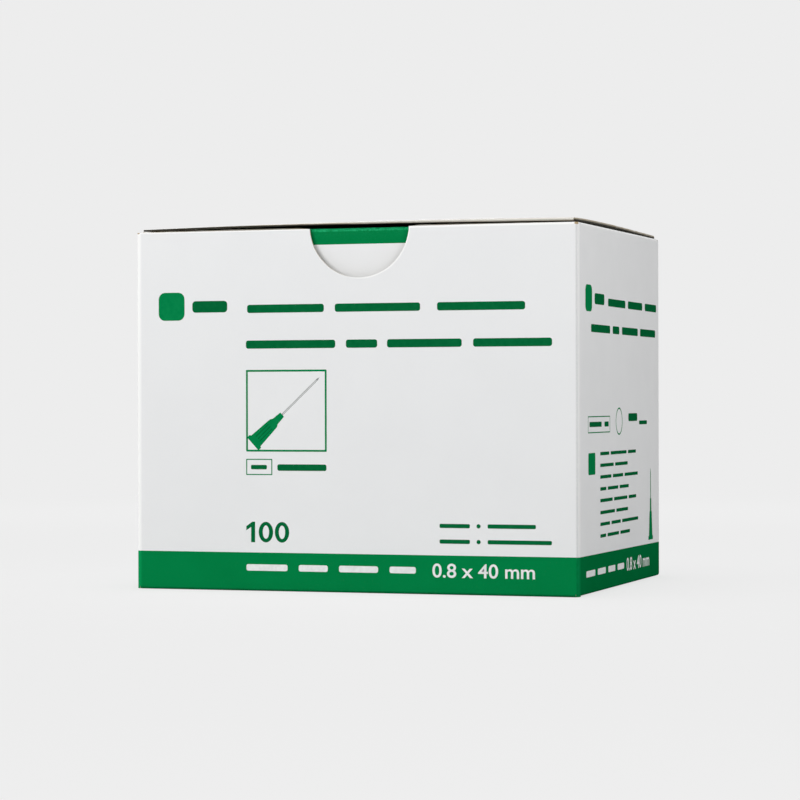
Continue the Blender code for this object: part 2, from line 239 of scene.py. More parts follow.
def paleRays(tree):
    # 1 where the camera looks straight, in a reflection or through glass
    rays = addNode(tree, "LightPath").outputs
    share = rays["Is Camera Ray"]
    for kind in ("Is Glossy Ray", "Is Transmission Ray"):
        share = maths(tree, "MAXIMUM", share, rays[kind])
    return share


def mixShaders(tree, share, first, second, output):
    mixed = addNode(tree, "MixShader", {0: share, 1: first.outputs[0], 2: second.outputs[0]})
    addNode(tree, output, {"Surface": mixed.outputs[0]})


def setWorld():
    world = bpy.data.worlds.new("studioWorld")
    bpy.context.scene.world = world
    world.use_nodes = True
    tree = world.node_tree
    tree.nodes.clear()
    light = addNode(tree, "Background", {"Color": (1, 1, 1, 1), "Strength": studio["ambient"]})
    pale = addNode(tree, "Background", {"Color": (*studio["backdrop"], 1), "Strength": 1.0})
    mixShaders(tree, paleRays(tree), light, pale, "OutputWorld")


def floorMaterial():
    made, tree = newMaterial("paleFloor")
    place = objectPlace(tree)
    grain = cloudField(tree, place, 40.0, 0.0, 0.02)
    tone = mixColours(tree, grain, studio["floorColour"], (1, 1, 1))
    lit = addNode(tree, "BsdfDiffuse", {"Color": tone})
    far = spread(tree, vectorMaths(tree, "LENGTH", place), *studio["fade"], kind="SMOOTHSTEP")
    glowTone = mixColours(tree, far, studio["nearGlow"], studio["backdrop"])
    glow = addNode(tree, "Emission", {"Color": glowTone, "Strength": 1.0})
    share = spread(tree, far, 0.0, 1.0, 1 - studio["shadowShare"], 1.0)
    mixShaders(tree, maths(tree, "MULTIPLY", paleRays(tree), share), lit, glow, "OutputMaterial")
    return made


def setStudio():
    setWorld()
    bm = bmesh.new()
    bmesh.ops.create_grid(bm, x_segments=1, y_segments=1, size=studio["floorSize"] / 2)
    floor = placeObject("paleFloor", meshFrom("paleFloor", bm), [floorMaterial()])
    notTheFloor = bpy.data.collections.new("notTheFloor")  # the panels leave the floor to the sun
    notTheFloor.objects.link(floor)
    notTheFloor.collection_objects[0].light_linking.link_state = "EXCLUDE"
    for name, lamp in lamps.items():
        data = bpy.data.lights.new(name, lamp["kind"])
        data.energy = lamp["strength"]
        made = linkObject(name, data)
        made.location = lamp["from"]
        made.rotation_mode = "QUATERNION"
        made.rotation_quaternion = (studio["aim"] - made.location).to_track_quat("-Z", "Y")
        if lamp["kind"] == "SUN":
            data.angle = math.radians(lamp["angle"])
        else:
            data.shape = "SQUARE"
            data.size = lamp["size"]
            made.light_linking.receiver_collection = notTheFloor
            made.visible_camera = False


setStudio()
print("studio set")


# the carton's board: white clay face, green print, uncoated inside and cut edges

clayFace = {"roughness": (0.36, 0.46), "specular": 0.45, "grain": 1500.0, "grainDepth": 0.000006}
inkedFace = {"roughness": (0.34, 0.42), "specular": 0.0, "grain": 1500.0, "grainDepth": 0.000005}
boardFinishes = {
    "whiteClayBoard": {
        **clayFace,
        "colour": (0.825, 0.832, 0.838),
        "shade": (0.815, 0.822, 0.828),
        "worn": (0.88, 0.88, 0.87),
        "lit": (0.985, 0.985, 0.975),
    },
    "greenPrintedBoard": {
        **inkedFace,
        "colour": (0.0010, 0.218, 0.060),
        "shade": (0.0008, 0.205, 0.055),
        "worn": (0.003, 0.250, 0.080),
        "lit": (0.004, 0.300, 0.092),
        "sideTone": 0.80,  # painted shade: the green is darker on the right-hand side
    },
    # a paler copy of the white clay board: painted light on the tuck flap, which lies in shade behind the
    # notch
    "tuckBrightenedWhiteBoard": {
        **clayFace,
        "colour": (0.905, 0.910, 0.915),
        "shade": (0.895, 0.900, 0.905),
        "worn": (0.94, 0.94, 0.93),
    },
    # its fold colour is far paler than its green: mostly a painted highlight along the tuck flap's fold
    "tuckGreenHighlightBoard": {
        **inkedFace,
        "colour": (0.0010, 0.225, 0.064),
        "shade": (0.0008, 0.210, 0.058),
        "worn": (0.03, 0.52, 0.22),
    },
    "uncoatedInside": {
        "colour": (0.46, 0.435, 0.375),
        "shade": (0.43, 0.405, 0.345),
        "worn": (0.56, 0.54, 0.48),
        "roughness": (0.75, 0.9),
        "specular": 0.3,
        "grain": 900.0,
        "grainDepth": 0.00002,
    },
}
boardPattern = {  # scales of the noise, and how strongly it shows
    "cloud": 70.0,
    "speck": 5200.0,
    "speckTone": (0.35, 0.33, 0.28),
    "speckShare": 0.12,
    "brokenWearAndHighlight": 1800.0,
    "wearAndHighlightShare": 0.7,
    "gloss": 160.0,
}
cutEdgeFinish = {
    "cream": (0.74, 0.70, 0.62),
    "beige": (0.50, 0.43, 0.31),
    "golden": (0.42, 0.31, 0.17),
    "shaded": (0.030, 0.026, 0.018),
    "pale": (0.69, 0.67, 0.61),
    "cloud": 120.0,
    "fibre": 2600.0,
    "fibreDepth": 0.00003,
}


def boardMaterial(name, handling=None):
    finish = boardFinishes[name]
    made, tree = newMaterial(name)
    place = objectPlace(tree)
    cloud = spread(tree, noiseField(tree, place, boardPattern["cloud"], 4.0), 0.35, 0.65)
    colour = mixColours(tree, cloud, finish["colour"], finish["shade"])
    speck = noiseField(tree, place, boardPattern["speck"], 1.0)
    speck = spread(tree, speck, 0.72, 0.78, 0.0, boardPattern["speckShare"])
    colour = mixColours(tree, speck, colour, boardPattern["speckTone"])
    # paler along the folds: partly wear of the print, partly a painted fold highlight
    wearAndHighlightMask = addNode(tree, "Attribute", attribute_name="foldWearAndHighlight").outputs["Fac"]
    broken = spread(tree, noiseField(tree, place, boardPattern["brokenWearAndHighlight"], 3.0, 0.7), 0.40, 0.62)
    worn = spread(tree, maths(tree, "MULTIPLY", wearAndHighlightMask, broken), 0.0, 1.0, 0.0, boardPattern["wearAndHighlightShare"])
    colour = mixColours(tree, worn, colour, finish["worn"])
    if handling:
        colour = handling(tree, place, colour, finish)
    gloss = cloudField(tree, place, boardPattern["gloss"], *finish["roughness"], 2.0)
    grain = noiseField(tree, place, finish["grain"], 4.0, 0.6)
    inputs = {"Base Color": colour, "Roughness": gloss, "Specular IOR Level": finish["specular"]}
    surfaceOf(tree, inputs, grain, finish["grainDepth"])
    return made


def cutEdgeMaterial(name, lit=False):
    made, tree = newMaterial(name)
    place = objectPlace(tree)
    cloud = spread(tree, noiseField(tree, place, cutEdgeFinish["cloud"], 2.0), 0.35, 0.65)
    colour = mixColours(tree, cloud, cutEdgeFinish["cream"], cutEdgeFinish["beige"])
    fibre = noiseField(tree, place, cutEdgeFinish["fibre"], 3.0, 0.7)
    colour = mixColours(tree, spread(tree, fibre, 0.45, 0.75, 0.0, 0.6), colour, cutEdgeFinish["golden"])
    # painted light and shade on cut edges: dark where the edge lies in shade, paler where it is lit
    if lit:  # 0 in the lid's shade, 1 plain, 2 pale
        light = addNode(tree, "Attribute", attribute_name="edgeLight").outputs["Fac"]
        colour = mixColours(tree, spread(tree, light, 0.0, 1.0), cutEdgeFinish["shaded"], colour)
        colour = mixColours(tree, spread(tree, light, 1.05, 1.4), colour, cutEdgeFinish["pale"])
    inputs = {"Base Color": colour, "Roughness": 0.9, "Specular IOR Level": 0.2}
    surfaceOf(tree, inputs, fibre, cutEdgeFinish["fibreDepth"])
    return made


whiteBoard = boardMaterial("whiteClayBoard")
insideBoard = boardMaterial("uncoatedInside")
cutEdge = cutEdgeMaterial("cutBoardEdge")
print("board materials made")


board = {
    "thickness": 0.55 * mm,
    "insideRadius": 0.35 * mm,
    "foldSteps": 10,
    "edgeRounding": 0.07 * mm,
    "bandHeight": 11.2 * mm,
    "sharpAbove": 40,  # degrees
}
foldRadius = board["insideRadius"] + board["thickness"]


def newSheet():
    return {"bm": bmesh.new(), "corners": {}}


def sheetCorner(sheet, point):
    key = tuple(round(value, 7) for value in point)
    if key not in sheet["corners"]:
        sheet["corners"][key] = sheet["bm"].verts.new(point)
    return sheet["corners"][key]


def sheetFace(sheet, points):
    sheet["bm"].faces.new([sheetCorner(sheet, p) for p in points])


def foldPath(radius, turn, runs):
    # pairs (inward, along) from the crease line: an arc, then straight runs of (length, angle past square)
    steps = board["foldSteps"]
    path = []
    for i in range(steps + 1):
        angle = turn * i / steps
        path.append((radius * (1 - math.cos(angle)), radius * math.sin(angle)))
    for length, past in runs:
        inward, along = path[-1]
        path.append((inward + length * math.cos(past), along - length * math.sin(past)))
    return path


def sheetFlap(sheet, place, low, high, path, drawnIn, cornerRadius=0.0, cornerSteps=12):
    draws = [(0, 0)] * (board["foldSteps"] + 1) + drawnIn
    edges = [(low + d[0], high - d[1], *point) for point, d in zip(path, draws)]
    for near, far in zip(edges[:-2], edges[1:-1]):
        corners = ((near[1], near), (far[1], far), (far[0], far), (near[0], near))
        sheetFace(sheet, [place(across, *edge[2:]) for across, edge in corners])
    near, far = edges[-2:]
    run = math.hypot(far[2] - near[2], far[3] - near[3])

    def at(across, gone):
        inward = near[2] + (far[2] - near[2]) * gone / run
        along = near[3] + (far[3] - near[3]) * gone / run
        return place(across, inward, along)

    outline = [at(near[1], 0)]
    if cornerRadius:
        level = run - cornerRadius
        for across, turn in ((far[1] - cornerRadius, 0), (far[0] + cornerRadius, quarterTurn)):
            arc = arcPoints((across, level), cornerRadius, turn, turn + quarterTurn, cornerSteps)
            outline += [at(a, g) for a, g in arc]
    else:
        outline += [at(far[1], run), at(far[0], run)]
    sheetFace(sheet, outline + [at(near[0], 0)])


def markFoldWearAndHighlight(bm):
    # 1 along the middle of a fold, 0 on flat board; board materials make the folds paler by it, as wear of
    # the print and a painted fold highlight
    layer = bm.verts.layers.float.new("foldWearAndHighlight")
    step = quarterTurn / board["foldSteps"]
    for vert in bm.verts:
        turns = [edge.calc_face_angle(0) for edge in vert.link_edges if len(edge.link_faces) == 2]
        vert[layer] = min(1.0, max(turns, default=0) / step) ** 3


def cutPrint(bm, level, slope, greenAbove):
    # a plane that falls by the slope towards the back parts white, 0, from green, 1
    everything = bm.verts[:] + bm.edges[:] + bm.faces[:]
    bmesh.ops.bisect_plane(bm, geom=everything, plane_co=(0, 0, level), plane_no=(0, slope, 1))
    for face in bm.faces:
        middle = face.calc_center_median()
        above = middle.z + slope * middle.y > level
        face.material_index = int(above == greenAbove)


def makeBoardPiece(name, sheet, outside, inside, edges, band=None):
    bm = sheet["bm"]
    if band:
        cutPrint(bm, *band)
    bm.normal_update()
    markFoldWearAndHighlight(bm)
    surfaces = outside + [inside] * len(outside) + [edges] * len(outside)
    made = placeObject(name, meshFrom(name, bm), surfaces)
    solid = made.modifiers.new("board", "SOLIDIFY")
    solid.thickness = board["thickness"]
    solid.offset = -1
    solid.use_even_offset = True
    solid.material_offset = len(outside)
    solid.material_offset_rim = 2 * len(outside)
    soft = made.modifiers.new("edges", "BEVEL")
    soft.width = board["edgeRounding"]
    soft.segments = 2
    soft.limit_method = "ANGLE"
    soft.angle_limit = math.radians(board["sharpAbove"])
    soft.use_clamp_overlap = True
    final = finishedMesh(made)
    made.modifiers.clear()
    made.data = final
    final.name = name
    smoothBelow(final, board["sharpAbove"])
    made.modifiers.new("flatFaces", "WEIGHTED_NORMAL").keep_sharp = True
    return made


# the folded carton

carton = {
    "bottomSideFlap": 42 * mm,
    "dustFlap": 42 * mm,
    "dustDroop": 14,  # degrees
    "dustRiseFront": 0.40 * mm,  # of the side panels' top folds over the front panel's edge
    "dustRiseBack": 0.85 * mm,
    "backRise": 0.95 * mm,
    "leftSwell": 0.85 * mm,  # the left side leans out at the front
    "bandLift": 0.12 * mm,  # of the green band at the front, and how far it falls towards the back
    "bandFall": 0.45 * mm,
    "topStops": (3.4 * mm, 23 * mm, 43 * mm),  # along the front panel's edge, from the notch
    "edgeRise": 0.28 * mm,  # of that edge at the right
    "edgeRiseFrom": -6 * mm,
    "edgeRiseRun": 36 * mm,
    "edgeBurr": 0.35 * mm,  # its rough inner side stands up into the slot
    "burrLight": 0.35,
    "dustFrontRelief": 3.5 * mm,
    "dustBackRelief": 2 * mm,
    "dustTaper": 6 * mm,
    "bottomSideCrease": 0.25 * mm,
    "frontReachGap": 4.5 * mm,
    "backReachGap": 3 * mm,
    "creaseEndRelief": 0.1 * mm,
    "bottomEdgeInset": 3.5 * mm,
    "shoulder": 1.2 * mm,
    "sideFlapRise": 4 * mm,
    "backFlapRise": 5 * mm,
    "glueFlap": 14 * mm,
    "glueFlapFootTaper": 2.2 * mm,
    "glueFlapHeadTaper": 4.4 * mm,
    "glueLine": 0.1 * mm,
    "notchRadius": 15.25 * mm,
    "notchDepth": 14.4 * mm,
    "notchOffset": 1.9 * mm,
    "notchSteps": 64,
    "seamLine": 0.3 * mm,
    "rimLine": 0.5 * mm,
    "creaseShadeTone": 0.83,
    "creaseShadeWidth": 0.34 * mm,
    "creaseShadeInset": 0.58 * mm,
    "foldHighlight": (0.8 * mm, 1.5 * mm),  # where it lies behind the front face, and its half width
    "foldHighlightShare": 0.7,
    "cornerWear": (0.8 * mm, 0.8 * mm, 0.45 * mm),
    "cornerFade": (0.7, 1.1),  # in shares of that wear
    "fullShare": 0.35,  # of a line's half width, at full tone
    "faceDepth": (0.1 * mm, 0.3 * mm),  # a face's own tones fade out over this depth
    "leftHighlight": (1.7 * mm, 0.9 * mm),  # the lit strip on the left fold fades in between these insets
    "leftHighlightDepth": (1.2 * mm, 2 * mm),
    "rimFade": (-4 * mm, 3 * mm),  # the notch's lit rim is faint left of the notch's middle
    "rimFaint": 0.1,
    "edgeDepth": 2.5 * mm,  # of the front panel's raised edge, with its folds
    "edgeReach": 0.1 * mm,
    "burrEnd": 1 * mm,  # the burr stops short of the notch and of the lid's ends
    "burrShare": 0.6,  # of the room under the lid
}
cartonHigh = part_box("carton")[1]
halfWidth, halfDepth, frontHeight = cartonHigh.x, cartonHigh.y, cartonHigh.z
hingeHeight = frame["joints"][0]["pos_m"][2]
hingeSlit = 0.3 * mm
backTop = hingeHeight - hingeSlit / 2 + carton["backRise"]


def nearTo(tree, value, centre, reach):
    off = maths(tree, "ABSOLUTE", maths(tree, "SUBTRACT", value, centre))
    return spread(tree, off, carton["fullShare"] * reach, reach, 1.0, 0.0)


def cartonHandling(tree, place, colour, finish):
    # painted crease shade along the right-hand fold, painted highlights on the folds, the notch's rim and
    # the front panel's top edge, painted shade on the right-hand side's green, and raw corners at the top
    # of the front folds
    split = addNode(tree, "SeparateXYZ", {0: place})
    x, y, z = (split.outputs[i] for i in range(3))
    left = maths(tree, "MULTIPLY_ADD", x, -1.0, -carton["leftSwell"])
    shallow, deep = carton["faceDepth"]

    # painted crease shade: a dark line along the right-hand fold
    creaseShade = nearTo(tree, x, halfWidth - carton["creaseShadeInset"], carton["creaseShadeWidth"])
    colour = darkened(tree, creaseShade, colour, carton["creaseShadeTone"])
    # painted highlight on the rounded right-hand fold, just behind the front face
    highlightMiddle, highlightHalf = carton["foldHighlight"]
    side = spread(tree, x, halfWidth - deep, halfWidth - shallow)
    paintedHighlight = maths(tree, "MULTIPLY", nearTo(tree, y, -halfDepth + highlightMiddle, highlightHalf), side)
    paintedHighlight = maths(tree, "MULTIPLY", paintedHighlight, carton["foldHighlightShare"])
    colour = mixColours(tree, paintedHighlight, colour, finish["lit"])
    # painted shade on the green of the right-hand side
    if "sideTone" in finish:
        colour = darkened(tree, side, colour, finish["sideTone"])

    # painted highlight: a pale strip along the left-hand fold
    outer, inner = (halfWidth - inset for inset in carton["leftHighlight"])
    near, far = (-halfDepth + depth for depth in carton["leftHighlightDepth"])
    paintedHighlight = maths(tree, "MULTIPLY", spread(tree, left, outer, inner), spread(tree, y, near, far, 1.0, 0.0))
    colour = mixColours(tree, paintedHighlight, colour, finish["lit"])

    # painted highlights: a pale line along the notch's rim and along the front panel's top edge
    rise = carton["notchRadius"] - carton["notchDepth"]
    middle = (carton["notchOffset"], -halfDepth, frontHeight + rise)
    radius = vectorMaths(tree, "LENGTH", vectorMaths(tree, "SUBTRACT", place, middle))
    start, full = (carton["notchOffset"] + run for run in carton["rimFade"])
    rightwards = spread(tree, x, start, full, carton["rimFaint"], 1.0)
    rim = nearTo(tree, radius, carton["notchRadius"], carton["rimLine"])
    rim = maths(tree, "MULTIPLY", rim, rightwards)
    lit = maths(tree, "MAXIMUM", rim, nearTo(tree, z, frontHeight, carton["rimLine"]))
    front = spread(tree, y, -halfDepth + shallow, -halfDepth + deep, 1.0, 0.0)
    colour = mixColours(tree, maths(tree, "MULTIPLY", lit, front), colour, finish["lit"])

    across = maths(tree, "MAXIMUM", x, left)
    mirrored = addNode(tree, "CombineXYZ", {0: across, 1: y, 2: z}).outputs[0]
    corner = (halfWidth - carton["cornerWear"][0] / 2, -halfDepth, frontHeight)
    away = vectorMaths(tree, "SUBTRACT", mirrored, corner)
    away = vectorMaths(tree, "LENGTH", vectorMaths(tree, "DIVIDE", away, carton["cornerWear"]))
    raw = spread(tree, away, *carton["cornerFade"], 1.0, 0.0)
    return mixColours(tree, raw, colour, cutEdgeFinish["golden"])


def cartonSheet():
    sheet = newSheet()
    low, top = foldRadius, frontHeight
    cornerFoot = 0.1 * foldRadius  # the front corners reach down to here
    xFold, yFold = halfWidth - foldRadius, halfDepth - foldRadius
    leftFold = xFold + carton["leftSwell"]
    glueX = -halfWidth + board["thickness"] + carton["glueLine"]
    seamY = halfDepth - board["thickness"]
    glueFoldX = glueX + foldRadius

    def creaseAt(y):
        share = (y + halfDepth) / (2 * halfDepth)
        rise = carton["dustRiseFront"] + (carton["dustRiseBack"] - carton["dustRiseFront"]) * share
        return top + rise - foldRadius

    def sidePoint(y, inward, z):
        swell = carton["leftSwell"] * (yFold - y) / (2 * yFold) if side < 0 else 0
        return (side * (halfWidth + swell - inward), y, z)

    def uprightFold(centre, start, height):
        points = arcPoints(centre, foldRadius, start, start + quarterTurn, board["foldSteps"])
        for a, b in zip(points[:-1], points[1:]):
            sheetFace(sheet, [(*a, low), (*b, low), (*b, height), (*a, height)])
            if centre[1] < 0:
                sheetFace(sheet, [(*a, cornerFoot), (*b, cornerFoot), (*b, low), (*a, low)])

    uprightFold((-leftFold, -yFold), math.pi, top)
    uprightFold((xFold, -yFold), 3 * quarterTurn, top)
    uprightFold((xFold, yFold), 0, backTop)
    uprightFold((glueFoldX, yFold), quarterTurn, backTop)
    glueEnd = yFold - carton["glueFlap"]
    glueFoot, glueHead = low + carton["glueFlapFootTaper"], backTop - carton["glueFlapHeadTaper"]
    flap = [(yFold, low), (glueEnd, glueFoot), (glueEnd, glueHead), (yFold, backTop)]
    sheetFace(sheet, [(glueX, y, z) for y, z in flap])

    # front panel with its thumb notch, and the outer bottom flap
    bottomHalf = xFold - carton["creaseEndRelief"]
    shoulder = carton["bottomEdgeInset"] - foldRadius - carton["creaseEndRelief"]
    rise = carton["notchRadius"] - carton["notchDepth"]
    lean = math.asin(rise / carton["notchRadius"])
    middle = (carton["notchOffset"], top + rise)
    notch = arcPoints(middle, carton["notchRadius"], -lean, lean - math.pi, carton["notchSteps"])
    bottomLeft = bottomHalf + carton["leftSwell"]
    outline = [(-leftFold, low), (-bottomLeft, low), (bottomHalf, low), (xFold, low), (xFold, top)]
    outline += [(notch[0][0] + stop, top) for stop in carton["topStops"][::-1]] + notch
    outline += [(notch[-1][0] - stop, top) for stop in carton["topStops"]] + [(-leftFold, top)]
    sheetFace(sheet, [(x, -halfDepth, z) for x, z in outline])
    reach = 2 * halfDepth - foldRadius - carton["shoulder"] - carton["frontReachGap"]
    sheetFlap(
        sheet,
        lambda across, inward, along: (-across, -halfDepth + inward, low - along),
        -bottomHalf,
        bottomLeft,
        foldPath(foldRadius, quarterTurn, [(carton["shoulder"], 0), (reach, 0)]),
        [(shoulder, shoulder), (shoulder, shoulder)],
    )

    # side panels, each with a dust flap at the top and a flap at the bottom
    frontEdge = -halfDepth + carton["dustFrontRelief"]
    backEdge = halfDepth - carton["dustBackRelief"]
    bottomFront = -halfDepth + foldRadius + carton["shoulder"]
    bottomBack = yFold - carton["creaseEndRelief"]
    innerRadius = low - carton["bottomSideCrease"]
    climb = board["thickness"] + carton["glueLine"] - carton["bottomSideCrease"]
    slope = math.atan2(climb, carton["sideFlapRise"])
    clearOfBack = carton["bottomEdgeInset"] - innerRadius - carton["seamLine"]
    sideRuns = [
        (clearOfBack, slope),
        (carton["sideFlapRise"] - clearOfBack, slope),
        (carton["bottomSideFlap"] - carton["sideFlapRise"], 0),
    ]
    backDraw = carton["backFlapRise"] + foldRadius
    taper = carton["dustTaper"]
    sideDraws = [(0, backDraw), (0, backDraw), (taper, backDraw + taper)]
    droop = math.radians(carton["dustDroop"])
    dustPath = foldPath(foldRadius, quarterTurn + droop, [(carton["dustFlap"], droop)])
    for side in (1, -1):
        backFold = yFold if side > 0 else seamY
        cornerEnd = bottomFront - carton["creaseEndRelief"]
        outline = [(-yFold, low), (-yFold, cornerFoot), (cornerEnd, cornerFoot), (cornerEnd, low)]
        outline += [(bottomFront, low), (bottomBack, low), (backFold, low)]
        outline += [(backFold, backTop), (backEdge, backTop), (backEdge, creaseAt(backEdge))]
        outline += [(frontEdge, creaseAt(frontEdge)), (frontEdge, top), (-yFold, top)]
        sheetFace(sheet, [sidePoint(y, 0, z) for y, z in outline[::side]])
        sheetFlap(
            sheet,
            lambda across, inward, along: sidePoint(side * across, inward, creaseAt(side * across) + along),
            *sorted((side * frontEdge, side * backEdge)),
            dustPath,
            [(taper, taper)],
        )
        sheetFlap(
            sheet,
            lambda across, inward, along: sidePoint(-side * across, inward, low - along),
            *sorted((-side * bottomFront, -side * bottomBack)),
            foldPath(innerRadius, quarterTurn + slope, sideRuns),
            [draw[::-side] for draw in sideDraws],
        )

    # back panel with the innermost bottom flap
    backHalf = halfWidth - carton["bottomEdgeInset"]
    foot = [(x, halfDepth, low) for x in (xFold, backHalf, -backHalf, glueFoldX)]
    sheetFace(sheet, foot + [(glueFoldX, halfDepth, backTop), (xFold, halfDepth, backTop)])
    overSideFlaps = 2 * (board["thickness"] + carton["glueLine"])
    backSlope = math.atan2(overSideFlaps - carton["bottomSideCrease"], carton["backFlapRise"])
    backReach = 2 * halfDepth - innerRadius - carton["backFlapRise"] - carton["backReachGap"]
    backRuns = [(carton["backFlapRise"], backSlope), (backReach, 0)]
    sheetFlap(
        sheet,
        lambda across, inward, along: (across, halfDepth - inward, low - along),
        -backHalf,
        backHalf,
        foldPath(innerRadius, quarterTurn + backSlope, backRuns),
        [(0, 0), (0, 0)],
    )
    return sheet


foldedCarton = makeBoardPiece(
    "foldedCarton",
    cartonSheet(),
    [boardMaterial(name, cartonHandling) for name in ("whiteClayBoard", "greenPrintedBoard")],
    insideBoard,
    cutEdgeMaterial("cartonCutEdge", True),
    (
        board["bandHeight"] + carton["bandLift"] - carton["bandFall"] / 2,
        carton["bandFall"] / (2 * halfDepth),
        False,
    ),
)
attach(foldedCarton, "carton")
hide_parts("carton")
print("carton folded:", len(foldedCarton.data.polygons), "faces")


# the lid: a bowed outer ply with cut edges, and an inner ply whose fold carries the tuck flap

lid = {
    "sideInset": 1.4 * mm,
    "frontInset": 0.1 * mm,
    "innerTop": 0.1 * mm,
    "gapFront": 0.55 * mm,
    "gapBack": 0.3 * mm,
    "bowAcross": 0.6 * mm,
    "bowAlong": 0.4 * mm,
    "bowSkew": 0.66,
    "frontTwist": 0.35 * mm,
    "frontDroop": 0.42 * mm,  # at the right, and none in the shade
    "frontSag": 0.2 * mm,  # of the edge's lower side there, where the board is frayed
    "frontRoll": 0.9 * mm,
    "rollRows": 4,
    "hingeInsideRadius": 0.55 * mm,
    "columns": 54,
    "rows": 36,
    "tuckLength": 20 * mm,
    "tuckCorner": 12 * mm,
    "tuckFrontGap": 0.35 * mm,
    "tuckSwing": 0.6 * mm,
    "tuckBand": 4.7 * mm,
    "restGap": 0.3 * mm,
    "litFrom": -36 * mm,  # the front edge comes out of the shade from here, over this run
    "litRun": 80 * mm,
    "frontEdgeShadeTone": (0.60, 0.58, 0.525),
    "frontEdgeShadeTo": 1.6,  # in rolls of the front edge
    "frontDepth": 0.2 * mm,
    "frontLight": (0.75, 2.4),  # the cut edge's light in the shade, and how fast it grows out of it
    "sideLight": (1.1, 0.85),  # its light at the upper side, and how much is lost towards the lower
    "shadedRimWidth": 9 * mm,
    "rimShadeTone": (0.15, 0.14, 0.115),
    "rimShadeToneLeft": (0.62, 0.59, 0.50),  # more light gets under the lid at the left
    "rimFade": (-15 * mm, -3 * mm),
}
innerPlyZ = frontHeight + lid["innerTop"]
lidTopFront = innerPlyZ + lid["gapFront"] + board["thickness"]
lidTopBack = innerPlyZ + lid["gapBack"] + board["thickness"] + carton["backRise"]
hingeRadius = lid["hingeInsideRadius"] + board["thickness"]
panelBack = halfDepth - hingeRadius
panelFront = -halfDepth + lid["frontInset"]
lidHalf = halfWidth - lid["sideInset"]


def outOfShade(x):
    return (x - lid["litFrom"]) / lid["litRun"]


def droopAt(x):
    return lid["frontDroop"] * clamp(outOfShade(x))


def sagAt(x):
    return lid["frontSag"] * clamp(outOfShade(x))


def lidLevel(x, y):
    u = (x + lidHalf) / (2 * lidHalf)
    v = (y - panelFront) / (panelBack - panelFront)
    level = lidTopFront + (lidTopBack - lidTopFront) * v
    across = lid["bowAcross"] * math.sin(math.pi * u) + lid["frontTwist"] * (2 * u - 1)
    along = lid["bowAlong"] * math.sin(math.pi * max(v, 0) ** lid["bowSkew"])
    return level + across * math.cos(quarterTurn * v) + along


def outerPlySheet():
    sheet = newSheet()
    hinge = arcPoints((panelBack, backTop + hingeSlit), hingeRadius, 0, quarterTurn, board["foldSteps"])
    xs = [-lidHalf + 2 * lidHalf * i / lid["columns"] for i in range(lid["columns"] + 1)]
    lines = [[(y, z) for _ in xs] for y, z in hinge]
    for row in range(1, lid["rows"]):
        y = panelBack + (panelFront + lid["frontRoll"] - panelBack) * row / lid["rows"]
        lines.append([(y, lidLevel(x, y)) for x in xs])
    for i in range(lid["rollRows"] + 1):  # the front edge, pressed down
        share = 1 - i / lid["rollRows"]
        y = panelFront + share * lid["frontRoll"]
        lines.append([(y, lidLevel(x, y) - droopAt(x) * (1 - share) ** 2) for x in xs])
    for back, front in zip(lines[:-1], lines[1:]):
        for i in range(lid["columns"]):
            left = [(xs[i], *back[i]), (xs[i], *front[i])]
            right = [(xs[i + 1], *front[i + 1]), (xs[i + 1], *back[i + 1])]
            sheetFace(sheet, left + right)
    return sheet


def innerPlySheet():
    sheet = newSheet()
    dustClearance = board["thickness"] + lid["restGap"] - lid["innerTop"] + carton["dustRiseBack"]
    half = halfWidth - foldRadius - dustClearance / math.tan(math.radians(carton["dustDroop"]))
    fold = -halfDepth + board["thickness"] + lid["tuckFrontGap"] + foldRadius
    tuckInset = lid["tuckLength"] ** 2 / (4 * halfDepth) + lid["tuckSwing"]
    lean = math.atan2(tuckInset, lid["tuckLength"])
    corners = ((-half, fold), (half, fold), (half, panelBack), (-half, panelBack))
    sheetFace(sheet, [(x, y, innerPlyZ) for x, y in corners])
    sheetFlap(
        sheet,
        lambda across, inward, along: (-across, fold - along, innerPlyZ - inward),
        -half,
        half,
        foldPath(foldRadius, quarterTurn + lean, [(lid["tuckLength"] - foldRadius, lean)]),
        [(0, 0)],
        lid["tuckCorner"],
    )
    return sheet


def lightFrontEdge(mesh):
    light = mesh.attributes.new("edgeLight", "FLOAT", "POINT")
    for i, vert in enumerate(mesh.vertices):
        x, y, z = vert.co
        below = (lidLevel(x, y) - z) / board["thickness"]
        light.data[i].value = lid["sideLight"][0] - lid["sideLight"][1] * below
        if y < panelFront + lid["frontDepth"]:
            below -= droopAt(x) / board["thickness"]
            start, growth = lid["frontLight"]
            light.data[i].value = start + growth * (outOfShade(x) - below)


def frayFrontEdge(mesh):
    for vert in mesh.vertices:
        x, y, z = vert.co
        share = (y - panelFront) / lid["frontRoll"]
        if share < 1:
            level = lidLevel(x, y) - droopAt(x) * (1 - share) ** 2
            if level - z > board["thickness"] / 2:
                vert.co.z -= sagAt(x) * (1 - max(0, share))


